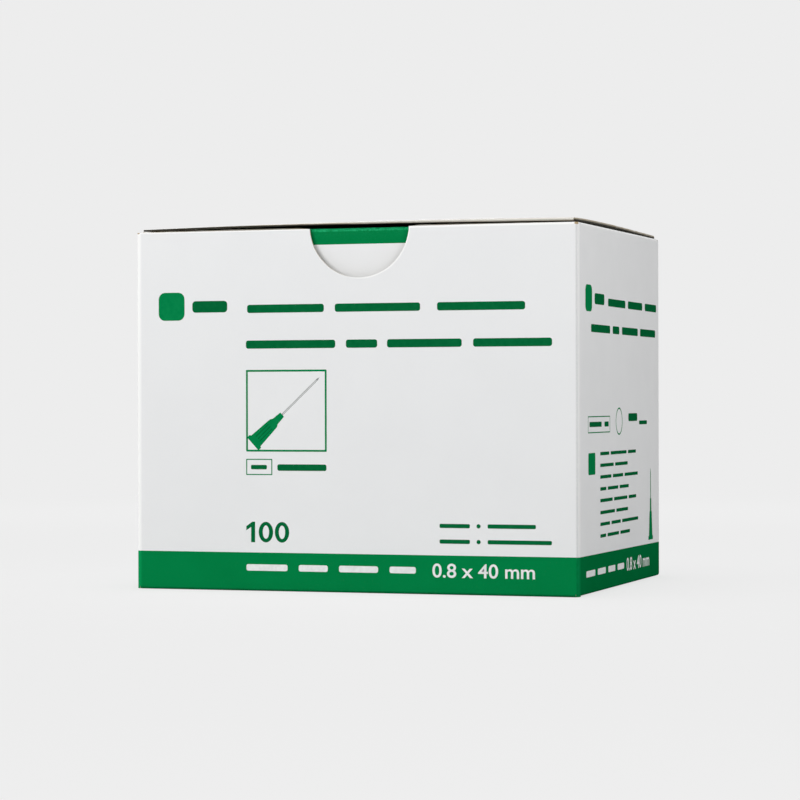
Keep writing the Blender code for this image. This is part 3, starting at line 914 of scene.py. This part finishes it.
def raiseFrontPanelEdge(mesh):
    # higher right of the notch, and rough on its inner side, as far as the lid leaves room
    light = mesh.attributes.new("edgeLight", "FLOAT", "POINT")
    inner = -halfDepth + board["thickness"]
    for i, vert in enumerate(mesh.vertices):
        x, y, z = vert.co
        light.data[i].value = 1.0
        if y > -halfDepth + carton["edgeDepth"] or abs(z - frontHeight) > carton["edgeReach"]:
            continue
        rise = carton["edgeRise"] * clamp((x - carton["edgeRiseFrom"]) / carton["edgeRiseRun"])
        vert.co.z += rise
        fromNotch = abs(x - carton["notchOffset"]) - carton["notchRadius"]
        fromEnd = lidHalf - abs(x)
        if abs(y - inner) < board["thickness"] / 2 and min(fromNotch, fromEnd) > carton["burrEnd"]:
            underLid = lidLevel(x, panelFront) - droopAt(x) - board["thickness"] - sagAt(x)
            room = underLid - frontHeight - rise
            vert.co.z += max(0.0, min(carton["edgeBurr"], carton["burrShare"] * room))
        # painted shade on the front panel's top rim where it lies under the lid
        if fromEnd > 0:
            light.data[i].value = carton["burrLight"]


def lidHandling(tree, place, colour, finish):
    # painted shade outside on the pressed-down front edge, and painted shade inside around the rim
    split = addNode(tree, "SeparateXYZ", {0: place})
    x, y = split.outputs[0], split.outputs[1]
    if finish is boardFinishes["uncoatedInside"]:
        # painted shade on the inside around the rim, lighter at the left
        side = spread(tree, maths(tree, "ABSOLUTE", x), lidHalf - lid["shadedRimWidth"], lidHalf)
        front = spread(tree, y, panelFront, panelFront + lid["shadedRimWidth"], 1.0, 0.0)
        rimShade = mixColours(tree, spread(tree, x, *lid["rimFade"]), lid["rimShadeToneLeft"], lid["rimShadeTone"])
        return mixColours(tree, maths(tree, "MAXIMUM", side, front), colour, rimShade)
    # painted shade on the outside of the pressed-down front edge
    start, end = (panelFront + rolls * lid["frontRoll"] for rolls in (1, lid["frontEdgeShadeTo"]))
    return mixColours(tree, spread(tree, y, start, end, 1.0, 0.0), colour, lid["frontEdgeShadeTone"])


outerPly = makeBoardPiece(
    "lidOuterPly",
    outerPlySheet(),
    [boardMaterial("whiteClayBoard", lidHandling)] * 2,
    boardMaterial("uncoatedInside", lidHandling),
    cutEdgeMaterial("lidCutEdge", True),
)
lightFrontEdge(outerPly.data)
frayFrontEdge(outerPly.data)
raiseFrontPanelEdge(foldedCarton.data)
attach(outerPly, "lid")
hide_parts("outer_lid")
tuckPly = makeBoardPiece(
    "lidTuckPly",
    innerPlySheet(),
    [boardMaterial(name) for name in ("tuckBrightenedWhiteBoard", "tuckGreenHighlightBoard")],
    insideBoard,
    cutEdge,
    (innerPlyZ - lid["tuckBand"], 0, True),
)
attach(tuckPly, "lid")
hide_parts("tuck_lid")
print("lid made:", len(outerPly.data.polygons) + len(tuckPly.data.polygons), "faces")


# the crease that joins the lid to the back panel

hingeCrease = {"inset": 0.05 * mm, "depth": 0.38 * mm, "endInset": 0.2 * mm, "rows": 8}


def makeHingeCrease():
    bm = bmesh.new()
    half = lidHalf - hingeCrease["endInset"]
    yOut = halfDepth - hingeCrease["inset"]
    yIn = yOut - hingeCrease["depth"]
    low, high = backTop, backTop + hingeSlit
    rings = []
    for i in range(hingeCrease["rows"] + 1):
        z = low + (high - low) * i / hingeCrease["rows"]
        corners = ((-half, yOut), (half, yOut), (half, yIn), (-half, yIn))
        rings.append([bm.verts.new((x, y, z)) for x, y in corners])
    for lower, upper in zip(rings[:-1], rings[1:]):
        bridge(bm, lower, upper)
    bm.faces.new(rings[0])
    bm.faces.new(rings[-1][::-1])
    bmesh.ops.recalc_face_normals(bm, faces=bm.faces)
    made = placeObject("hingeCrease", meshFrom("hingeCrease", bm), [whiteBoard])
    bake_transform(made)


makeHingeCrease()
print("hinge crease made")


# print: thin patches of ink on the board, as bars and plain shapes in place of words and marks

inks = {
    "letterGreenInk": (0.0012, 0.125, 0.036),
    "bandGreenInk": (0.0012, 0.210, 0.062),
    "greyInk": (0.25, 0.26, 0.26),
    "whiteInk": (0.78, 0.79, 0.79),
}
inkFinish = {
    "paler": (1.12, 0.002),  # times and plus, where the ink is thin
    "cloud": (900.0, 0.35, 0.7),
    "gloss": (300.0, 0.36, 0.46),
    "grain": (1500.0, 4.0, 0.6),
    "grainDepth": 0.000005,
    "whiteShine": 0.3,
}
inkLayer = {  # in mm; heights are off the board
    "under": -0.010,
    "proud": 0.020,
    "overprint": 0.032,
    "cornerSteps": 5,
    "cornerLimit": 0.48,  # of a box's sides
    "barCorner": 0.3,  # of a bar's height
    "squareCorner": 0.6,
    "ringSteps": 40,
    "dotSteps": 20,
    "pointRun": 4,  # of a pictured needle, in half widths of its tube
    "ribHalf": 0.13,
    "ribCorner": 0.1,
}
figureText = {"body": "0.8 x 40 mm", "boldness": 0.012, "curveSteps": 5, "joinWithin": 0.002 * mm}
inkOrder = list(inks)


def inkMaterial(name):
    times, plus = inkFinish["paler"]
    pale = tuple(min(1.0, value * times + plus) for value in inks[name])
    shine = {"Specular IOR Level": inkFinish["whiteShine"] if name == "whiteInk" else 0.0}
    return plainMaterial(name, {**inkFinish, "tones": (inks[name], pale), "uniform": shine})


inkMaterials = [inkMaterial(name) for name in inkOrder]


def onFront(u, v, w):
    return (u * mm, -halfDepth - w * mm, v * mm)


def onSide(u, v, w):
    return (halfWidth + w * mm, u * mm, v * mm)


def roundedBox(left, right, foot, head, radius):
    radius = min(radius, inkLayer["cornerLimit"] * (head - foot), inkLayer["cornerLimit"] * (right - left))
    centres = [(right - radius, foot + radius), (right - radius, head - radius)]
    centres += [(left + radius, head - radius), (left + radius, foot + radius)]
    points = []
    for i, centre in enumerate(centres):
        start = (i - 1) * quarterTurn
        points += arcPoints(centre, radius, start, start + quarterTurn, inkLayer["cornerSteps"])
    return points


def circle(centre, radius, steps):
    return arcPoints(centre, radius, 0, fullTurn, steps)[:-1]


def layInk(bm, face, outline, inkName, level="proud"):
    low, high = ([bm.verts.new(face(u, v, inkLayer[w])) for u, v in outline] for w in ("under", level))
    index = inkOrder.index(inkName)
    for cap in (high, low[::-1]):
        bm.faces.new(cap).material_index = index
    bridge(bm, low, high, index)


def layInkRing(bm, face, outer, inner, inkName):
    rings = []
    for outline, level in ((outer, "under"), (outer, "proud"), (inner, "proud"), (inner, "under")):
        rings.append([bm.verts.new(face(u, v, inkLayer[level])) for u, v in outline])
    for i in range(4):
        bridge(bm, rings[i], rings[(i + 1) % 4], inkOrder.index(inkName))


def layFrame(bm, face, left, right, foot, head, line):
    outer = roundedBox(left, right, foot, head, line / 2)
    inner = roundedBox(left + line, right - line, foot + line, head - line, line / 8)
    layInkRing(bm, face, outer, inner, "bandGreenInk")


def layBars(bm, face, rows, inkName):
    for level, height, *words in rows:
        foot, head, corner = level - height / 2, level + height / 2, height * inkLayer["barCorner"]
        for left, right in words:
            layInk(bm, face, roundedBox(left, right, foot, head, corner), inkName)


def layFigures(bm, face, figures):
    curve = bpy.data.curves.new("figures", "FONT")
    curve.body = figureText["body"]
    curve.offset = figureText["boldness"]
    curve.extrude = 0.5  # only its sign is used, to tell the upper side from the lower
    curve.resolution_u = figureText["curveSteps"]
    holder = placeObject("figures", curve, [None])
    mesh = finishedMesh(holder)
    bpy.data.objects.remove(holder)
    low, high = ([pick(vert.co[i] for vert in mesh.vertices) for i in range(2)] for pick in (min, max))
    for vert in mesh.vertices:
        across, up = ((vert.co[i] - low[i]) / (high[i] - low[i]) for i in range(2))
        u = figures["left"] + across * figures["width"]
        v = figures["foot"] + up * figures["height"]
        vert.co = face(u, v, inkLayer["proud"] if vert.co.z > 0 else inkLayer["under"])
    held = len(bm.faces)
    bm.from_mesh(mesh)
    bm.faces.ensure_lookup_table()
    fresh = bm.faces[held:]
    for side in fresh:
        side.material_index = inkOrder.index("whiteInk")
    corners = list({vert for side in fresh for vert in side.verts})
    bmesh.ops.remove_doubles(bm, verts=corners, dist=figureText["joinWithin"])
    bpy.data.meshes.remove(mesh)


def layHundred(bm, face, number):
    # a plain 1 and two noughts
    left, foot, high = number["left"], number["foot"], number["height"]
    wide, stroke, stem = number["noughtWidth"], number["stroke"], number["stemLeft"]
    tip, flag, joint = (share * high for share in number["flag"])
    one = [(stem, 0), (stem + stroke, 0), (stem + stroke, high), (stem + number["topCut"] * stroke, high)]
    one += [(0, tip), (0, flag), (stem, joint)]
    layInk(bm, face, [(left + u, foot + v) for u, v in one], "letterGreenInk")
    for start in number["noughts"]:
        rings = []
        for inset in (0, stroke):
            a, b = wide / 2 - inset, high / 2 - number["topStroke"] * inset
            x, y = left + start + wide / 2, foot + high / 2
            rings.append([(x + a * u, y + b * v) for u, v in circle((0, 0), 1, number["turnSteps"])])
        layInkRing(bm, face, *rings, "letterGreenInk")


def layNeedlePicture(bm, face, picture):
    turn = math.radians(picture["turn"])

    def along(a, b, w):
        u = picture["start"][0] + a * math.cos(turn) - b * math.sin(turn)
        v = picture["start"][1] + a * math.sin(turn) + b * math.cos(turn)
        return face(u, v, w)

    upper = picture["hubOutline"]
    layInk(bm, along, [(a, -b) for a, b in upper] + [(a, b) for a, b in upper[::-1]], "bandGreenInk")
    hubEnd, tip, half = upper[-1][0], picture["length"], picture["tubeHalf"]
    shoulder = tip - inkLayer["pointRun"] * half
    tube = [(hubEnd, -half), (shoulder, -half), (tip, 0), (shoulder, half), (hubEnd, half)]
    layInk(bm, along, tube, picture["tubeInk"])
    if picture.get("tubeShine"):
        start, end, thin = hubEnd + half, shoulder - half, half / 3
        shine = [(start, -thin), (end, -thin), (end, thin), (start, thin)]
        layInk(bm, along, shine, "whiteInk", "overprint")
    for b in picture.get("ribs", ()):
        foot, head = b - inkLayer["ribHalf"], b + inkLayer["ribHalf"]
        rib = roundedBox(picture["ribFrom"], picture["ribTo"], foot, head, inkLayer["ribCorner"])
        layInk(bm, along, rib, "letterGreenInk", "overprint")


def makePrint(name, face, sheet):
    bm = bmesh.new()
    layInk(bm, face, roundedBox(*sheet["tile"], sheet["tileCorner"]), "bandGreenInk")
    layBars(bm, face, sheet["bars"], "letterGreenInk")
    layBars(bm, face, sheet["bandBars"], "whiteInk")
    for box in sheet["frames"]:
        layFrame(bm, face, *box)
    for centre, radius, line in sheet.get("rings", ()):
        outer, inner = (circle(centre, r, inkLayer["ringSteps"]) for r in (radius, radius - line))
        layInkRing(bm, face, outer, inner, "bandGreenInk")
    for centre, radius in sheet.get("dots", ()):
        layInk(bm, face, circle(centre, radius, inkLayer["dotSteps"]), "letterGreenInk")
    for box in sheet.get("squares", ()):
        layInk(bm, face, roundedBox(*box, inkLayer["squareCorner"]), "bandGreenInk")
    layFigures(bm, face, sheet["figures"])
    if "hundred" in sheet:
        layHundred(bm, face, sheet["hundred"])
    layNeedlePicture(bm, face, sheet["needle"])
    made = placeObject(name, meshFrom(name, bm), inkMaterials)
    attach(made, "carton")


frontPrint = {  # in mm, across and up the front panel; a bar row is level, height, and its words' ends
    "tile": (-61.2, -52.9, 79.7, 88.0),
    "tileCorner": 2.0,
    "bars": [
        (83.7, 3.4, (-50.4, -39.3)),
        (82.9, 2.4, (-33.0, -9.0), (-5.6, 20.5), (25.6, 51.9)),
        (72.4, 2.4, (-33.4, -5.5), (-2.2, 7.4), (10.4, 33.0), (36.4, 59.8)),
        (36.3, 1.9, (-23.6, -8.3)),
        (36.4, 1.3, (-31.9, -26.9)),
        (19.8, 1.2, (26.2, 35.3), (40.6, 54.9)),
        (15.3, 1.2, (26.2, 35.3), (40.6, 59.6)),
    ],
    "bandBars": [
        (6.9, 1.9, (-33.4, -20.5), (-17.0, -8.0), (-4.5, 7.5), (11.0, 19.0)),
    ],
    "frames": [(-33.4, -8.2, 40.95, 64.95, 0.56), (-33.4, -25.2, 34.07, 38.82, 0.3)],
    "dots": [((37.9, 19.8), 0.62), ((37.9, 15.3), 0.62)],
    "figures": {"left": 24.0, "foot": 4.9, "width": 30.6, "height": 4.1},
    "hundred": {
        "left": -33.4,
        "foot": 14.3,
        "height": 6.05,
        "stroke": 1.25,
        "stemLeft": 1.5,
        "noughtWidth": 4.5,
        "noughts": (3.9, 8.95),
        "flag": (0.78, 0.58, 0.74),  # of the 1, in shares of its height
        "topCut": 0.3,  # in strokes
        "topStroke": 0.85,
        "turnSteps": 36,
    },
    "needle": {
        "start": (-31.3, 43.2),
        "turn": 43,
        "hubOutline": [(0, 2.6), (1.1, 2.6), (1.3, 2.15), (8.9, 1.6), (9.7, 1.1), (12.6, 0.85)],
        "length": 28.6,
        "tubeHalf": 0.26,
        "tubeInk": "greyInk",
        "tubeShine": True,
        "ribs": (-0.9, 0.0, 0.9),
        "ribFrom": 2.2,
        "ribTo": 7.6,
    },
}
sidePrint = {  # in mm: towards the back and up the right-hand panel
    "tile": (-42.6, -34.9, 81.3, 89.0),
    "tileCorner": 1.8,
    "bars": [
        (85.2, 3.2, (-31.9, -20.4)),
        (84.6, 2.3, (-15.9, 5.5), (8.8, 27.5), (31.0, 46.5)),
        (76.6, 2.3, (-36.1, -13.5), (-10.3, -2.2), (1.2, 21.5), (24.6, 45.0)),
        (48.8, 1.5, (-38.2, -24.0), (-20.6, -15.6)),
        (50.6, 2.4, (9.0, 20.5)),
        (48.9, 1.2, (23.0, 33.4)),
        (40.2, 1.0, (-25.8, -15.0), (-13.2, 6.5), (8.4, 18.6)),
        (36.8, 1.0, (-25.8, -9.6), (-7.8, 8.0)),
        (33.4, 1.0, (-25.8, -12.4), (-10.6, 2.2), (4.0, 21.0)),
        (29.9, 1.0, (-25.8, -18.6), (-16.8, -4.0), (-2.2, 9.2)),
        (26.5, 1.0, (-25.8, -11.0), (-9.2, 7.4), (9.2, 18.8)),
        (23.0, 1.0, (-25.8, -8.2), (-6.4, 8.2)),
        (19.6, 1.0, (-25.8, -14.2), (-12.4, -1.0), (0.8, 21.4)),
        (16.2, 1.0, (-25.8, -19.0), (-17.2, -3.2), (-1.4, 10.6)),
    ],
    "bandBars": [
        (6.0, 1.8, (-42.2, -32.0), (-29.0, -19.5), (-16.4, -8.0), (-5.0, 3.0)),
    ],
    "frames": [(-39.9, -13.9, 46.3, 51.2, 0.3)],
    "rings": [((-2.7, 49.5), 4.1, 0.42)],
    "squares": [(-39.6, -31.6, 34.3, 40.6)],
    "figures": {"left": 6.4, "foot": 4.1, "width": 29.6, "height": 4.0},
    "needle": {
        "start": (38.2, 12.1),
        "turn": 90,
        "hubOutline": [(0, 3.0), (1.1, 3.0), (1.3, 2.3), (8.6, 1.5), (9.1, 1.0), (13.0, 0.8)],
        "length": 22.4,
        "tubeHalf": 0.36,
        "tubeInk": "bandGreenInk",
    },
}
makePrint("frontPrint", onFront, frontPrint)
makePrint("sidePrint", onSide, sidePrint)
print("print laid on the front and the right-hand side")


# what the carton holds: strips of five peel pouches, with a needle in each

pouch = {  # in mm, in a strip's own space: x along the strip, y out of its paper, z up
    "count": 5,
    "stripCount": 20,
    "blisterFoot": 8.0,
    "blisterHead": 11.0,  # below the top edge
    "hub": (9.0, 7.6),  # width and depth of each stretch of the blister
    "hubLength": 18.0,
    "head": (7.2, 3.0),
    "shield": (7.0, 5.2),
    "foot": (4.2, 2.1),
    "taper": 4.0,
    "fullness": 0.6,
    "sides": 10,
    "levelSteps": (2, 1, 2, 4, 7, 5, 4, 3, 2),  # up to each station, and to the top
    "paper": (0.10, 0.22),
    "film": 0.24,
    "filmThickness": 0.06,
    "tearNotch": 2.0,
    "edgeRise": 0.45,
    "touching": 0.01,
    "sharpAbove": 60,  # degrees
}
needle = {  # in mm; radius and height, with the height down from the hub's open end
    "axisOut": 3.6,
    "belowBlisterHead": 0.9,
    "hub": [
        (0, -8.0), (1.90, -8.0), (2.12, 0), (2.60, 0), (3.05, -0.25), (3.05, -1.10), (2.70, -1.35),
        (2.55, -6.0), (2.40, -9.2), (1.75, -10.4), (1.60, -15.2), (1.30, -16.4), (0.75, -16.7), (0, -16.7),
    ],
    "shield": [
        (0, -59.1), (1.0, -59.0), (1.55, -58.4), (1.72, -57.2), (1.92, -12.1), (2.12, -11.8), (2.12, -10.7),
        (1.84, -10.7), (1.50, -56.8), (0.9, -57.6), (0, -57.7),
    ],
    "tubeRadius": 0.4,
    "tube": (-14.0, -56.7),
    "bevel": 1.6,  # length of the ground point
    "ears": (2, 0, 2.6, 3.8, 1.8),  # count, first turn, root, reach and thickness
    "ribs": (8, 0.5, 2.2, 2.85, 0.36),
    "ribHeights": (-2.0, -8.6),
    "turnSteps": 20,
    "sharpAbove": 38,
}
hubFinish = {
    "tones": ((0.002, 0.25, 0.09), (0.004, 0.30, 0.12)),
    "cloud": (500.0, 0.3, 0.7),
    "gloss": (900.0, 0.26, 0.38),
    "grain": (2500.0,),
    "grainDepth": 0.000004,
    "uniform": {},
}
shieldFinish = {
    "tones": ((0.84, 0.87, 0.87), (0.78, 0.81, 0.81)),
    "cloud": (400.0, 0.3, 0.7),
    "gloss": (800.0, 0.22, 0.34),
    "grain": (1500.0,),
    "grainDepth": 0.000004,
    "uniform": {"Alpha": 0.38},
}
filmFinish = {
    "tones": ((0.86, 0.90, 0.93), (0.90, 0.91, 0.91)),  # plain and welded
    "gloss": (220.0, 0.10, 0.22),
    "crimp": {"Scale": 260.0, "Distortion": 0.4},
    "crimpDepth": 0.00004,
    "alpha": 0.20,
}
paperFinish = {
    "tones": ((0.80, 0.80, 0.77), (0.76, 0.76, 0.73)),
    "cloud": 260.0,
    "fibre": (1400.0, 4.0, 0.7),
    "stretch": (1, 1, 0.35),
    "fibreDepth": 0.00002,
    "uniform": {"Roughness": 0.85, "Specular IOR Level": 0.25},
}
steelFinish = {
    "drawn": 9000.0,
    "stretch": (1, 1, 0.03),
    "roughness": (0.18, 0.32),
    "drawnDepth": 0.000002,
    "uniform": {"Base Color": (0.62, 0.62, 0.63, 1), "Metallic": 1.0},
}


def filmMaterial():
    made, tree = newMaterial("clearPouchFilm")
    place = objectPlace(tree)
    weld = addNode(tree, "Attribute", attribute_name="weld").outputs["Fac"]
    colour = mixColours(tree, weld, *filmFinish["tones"])
    gloss = cloudField(tree, place, *filmFinish["gloss"])
    ridges = {"Vector": place, **filmFinish["crimp"]}
    crimp = addNode(tree, "TexWave", ridges, bands_direction="Z").outputs["Fac"]
    inputs = {"Base Color": colour, "Roughness": gloss, "Alpha": filmFinish["alpha"]}
    surfaceOf(tree, inputs, maths(tree, "MULTIPLY", crimp, weld), filmFinish["crimpDepth"])
    return made


def paperMaterial():
    made, tree = newMaterial("peelPaper")
    cloud = cloudField(tree, objectPlace(tree), paperFinish["cloud"])
    colour = mixColours(tree, cloud, *paperFinish["tones"])
    fibre = noiseField(tree, objectPlace(tree, paperFinish["stretch"]), *paperFinish["fibre"])
    surfaceOf(tree, {"Base Color": colour, **paperFinish["uniform"]}, fibre, paperFinish["fibreDepth"])
    return made


def steelMaterial():
    made, tree = newMaterial("drawnSteel")
    drawn = noiseField(tree, objectPlace(tree, steelFinish["stretch"]), steelFinish["drawn"])
    gloss = spread(tree, drawn, 0.3, 0.7, *steelFinish["roughness"])
    surfaceOf(tree, {"Roughness": gloss, **steelFinish["uniform"]}, drawn, steelFinish["drawnDepth"])
    return made


firstLow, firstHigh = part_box("pouch_strip_01")
pouchPitch = (firstHigh.x - firstLow.x) / mm / pouch["count"]
pouchHeight = (firstHigh.z - firstLow.z) / mm
pouchCentres = [pouchPitch * (i - (pouch["count"] - 1) / 2) for i in range(pouch["count"])]
pouchBorders = [centre - pouchPitch / 2 for centre in pouchCentres[1:]]


def blisterStations():
    # height, width and depth
    bottom, top = pouch["blisterFoot"], pouchHeight - pouch["blisterHead"]
    taper, rise = pouch["taper"], pouch["edgeRise"]
    return [
        (bottom - rise, pouch["foot"][0], 0),
        (bottom, *pouch["foot"]),
        (bottom + taper / 2, *pouch["shield"]),
        (top - pouch["hubLength"] - taper, *pouch["shield"]),
        (top - pouch["hubLength"], *pouch["hub"]),
        (top - taper / 2, *pouch["hub"]),
        (top, *pouch["head"]),
        (top + rise, pouch["head"][0], 0),
    ]


def blisterAt(z):
    stations = blisterStations()
    if z <= stations[0][0]:
        return stations[0][1:]
    for low, high in zip(stations[:-1], stations[1:]):
        if z <= high[0]:
            share = (z - low[0]) / (high[0] - low[0])
            share = share * share * (3 - 2 * share)
            return tuple(a + (b - a) * share for a, b in zip(low[1:], high[1:]))
    return stations[-1][1:]


def filmLevels():
    levels = [0.0]
    for (z, _, _), count in zip(blisterStations() + [(pouchHeight, 0, 0)], pouch["levelSteps"]):
        low = levels[-1]
        levels += [low + (z - low) * i / count for i in range(1, count + 1)]
    return levels


def filmLine(width, depth):
    # across the strip: place, distance off the paper, and 1 where the film is welded down
    line = [(pouchCentres[0] - pouchPitch / 2, 0, 1.0)]
    fullness, sides = pouch["fullness"], pouch["sides"]
    for centre in pouchCentres:
        right = centre + pouchPitch / 2
        line.append((right - pouchPitch + pouch["tearNotch"] / 2, 0, 1.0))
        for k in range(sides + 1):
            turn = math.pi * (1 - k / sides)
            across = math.copysign(abs(math.cos(turn)) ** fullness, math.cos(turn)) * width / 2
            out = abs(math.sin(turn)) ** fullness * depth if 0 < k < sides else 0
            line.append((centre + across, out, 0.0 if depth else 1.0))
        line += [(right - pouch["tearNotch"] / 2, 0, 1.0), (right, 0, 1.0)]
    return line


def filmMesh():
    bm = bmesh.new()
    welds = bm.verts.layers.float.new("weld")
    levels = filmLevels()
    grid = []
    for z in levels:
        notched = {levels[0]: pouch["tearNotch"], levels[-1]: -pouch["tearNotch"]}.get(z, 0)
        made = []
        for x, out, weld in filmLine(*blisterAt(z)):
            atBorder = any(abs(x - border) < pouch["touching"] for border in pouchBorders)
            vert = bm.verts.new(fromMm(x, pouch["film"] + out, z + notched * atBorder))
            vert[welds] = weld
            made.append(vert)
        grid.append(made)
    for lower, upper in zip(grid[:-1], grid[1:]):
        for i in range(len(lower) - 1):
            bm.faces.new([lower[i + 1], lower[i], upper[i], upper[i + 1]])
    holder = placeObject("pouchFilmDraft", meshFrom("pouchFilm", bm))
    shell = holder.modifiers.new("shell", "SOLIDIFY")
    shell.thickness = pouch["filmThickness"] * mm
    shell.offset = 1
    final = finishedMesh(holder)
    bpy.data.objects.remove(holder)
    final.name = "pouchFilm"
    smoothBelow(final, pouch["sharpAbove"])
    return final


def paperMesh():
    half, notch = pouchPitch * pouch["count"] / 2, pouch["tearNotch"]
    outline = [(-half, 0)]
    for x in pouchBorders:
        outline += [(x - notch / 2, 0), (x, notch), (x + notch / 2, 0)]
    outline += [(half, 0), (half, pouchHeight)]
    for x in pouchBorders[::-1]:
        outline += [(x + notch / 2, pouchHeight), (x, pouchHeight - notch), (x - notch / 2, pouchHeight)]
    outline.append((-half, pouchHeight))
    bm = bmesh.new()
    front, back = ([bm.verts.new(fromMm(x, y, z)) for x, z in outline] for y in pouch["paper"])
    bm.faces.new(front)
    bm.faces.new(back[::-1])
    bridge(bm, back, front)
    bmesh.ops.triangulate(bm, faces=[side for side in bm.faces if len(side.verts) > 4])
    return meshFrom("pouchPaper", bm)


def needleRing(bm, centre, radius, z, steps, bevel=0.0):
    # a ring about a needle's axis, or one point; a bevel lifts the side towards the paper
    if not radius:
        return [bm.verts.new(fromMm(centre, needle["axisOut"], z))] * steps
    ring = []
    for x, y in arcPoints((0, 0), radius, 0, fullTurn, steps)[:-1]:
        lift = bevel * (radius - y) / (2 * radius)
        ring.append(bm.verts.new(fromMm(centre + x, needle["axisOut"] + y, z + lift)))
    return ring


def turnedForm(bm, profile, centre, top, index):
    rings = [needleRing(bm, centre, radius, top + z, needle["turnSteps"]) for radius, z in profile]
    for low, high in zip(rings[:-1], rings[1:]):
        bridge(bm, low, high, index)


def addTube(bm, centre, top, index):
    head, foot = (top + height for height in needle["tube"])
    radius, steps = needle["tubeRadius"], needle["turnSteps"] // 2
    upper = needleRing(bm, centre, radius, head, steps)
    lower = needleRing(bm, centre, radius, foot, steps, needle["bevel"])
    bridge(bm, lower, upper, index)
    for cap in (upper, lower[::-1]):
        bm.faces.new(cap).material_index = index


def addBlocks(bm, place, count, firstTurn, root, reach, thickness, head, foot):
    # blocks that stand out around a needle's axis
    size = Vector((reach - root, thickness, head - foot)) * mm
    middle = Vector(((reach + root) / 2, 0, (head + foot) / 2)) * mm
    for i in range(count):
        turn = Matrix.Rotation(fullTurn * (firstTurn + i) / count, 4, "Z")
        stand = Matrix.Translation(Vector(place) * mm) @ turn @ Matrix.Translation(middle)
        bmesh.ops.create_cube(bm, size=1.0, matrix=stand @ Matrix.Diagonal((*size, 1)))


def needlesMesh():
    bm = bmesh.new()
    top = pouchHeight - pouch["blisterHead"] - needle["belowBlisterHead"]
    flange = needle["hub"][4][1], needle["hub"][5][1]
    for centre in pouchCentres:
        turnedForm(bm, needle["hub"], centre, top, 0)
        turnedForm(bm, needle["shield"], centre, top, 1)
        addTube(bm, centre, top, 2)
        place = (centre, needle["axisOut"], top)
        for kind, heights in (("ears", flange), ("ribs", needle["ribHeights"])):
            addBlocks(bm, place, *needle[kind], *heights)
    bmesh.ops.recalc_face_normals(bm, faces=bm.faces)
    mesh = meshFrom("needles", bm)
    smoothBelow(mesh, needle["sharpAbove"])
    return mesh


def fillCarton():
    film, paper, needles = filmMesh(), paperMesh(), needlesMesh()
    film.materials.clear()
    hub, shield = plainMaterial("mouldedGreenHub", hubFinish), plainMaterial("clearShield", shieldFinish)
    kinds = (
        ("pouchFilm", film, "pouch_film", [filmMaterial()]),
        ("pouchPaper", paper, "pouch_paper", [paperMaterial()]),
        ("needles", needles, "needle_hub", [hub, shield, steelMaterial()]),
    )
    for number in range(1, pouch["stripCount"] + 1):
        node = f"pouch_strip_{number:02d}"
        low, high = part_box(node)
        turned = number % 2 == 0  # the second strip of a pair faces the first
        back = high.y if turned else low.y
        stand = Matrix.Translation(((low.x + high.x) / 2, back, low.z))
        stand = stand @ Matrix.Rotation(2 * quarterTurn if turned else 0, 4, "Z")
        for name, mesh, slot, surfaces in kinds:
            made = placeObject(f"{name}{number:02d}", mesh, surfaces)
            made.matrix_world = stand
            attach(made, "carton")
            if name == "pouchFilm":
                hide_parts(node)


fillCarton()
print("pouches made:", pouch["stripCount"], "strips of", pouch["count"])

bpy.context.scene.view_settings.view_transform = "Standard"
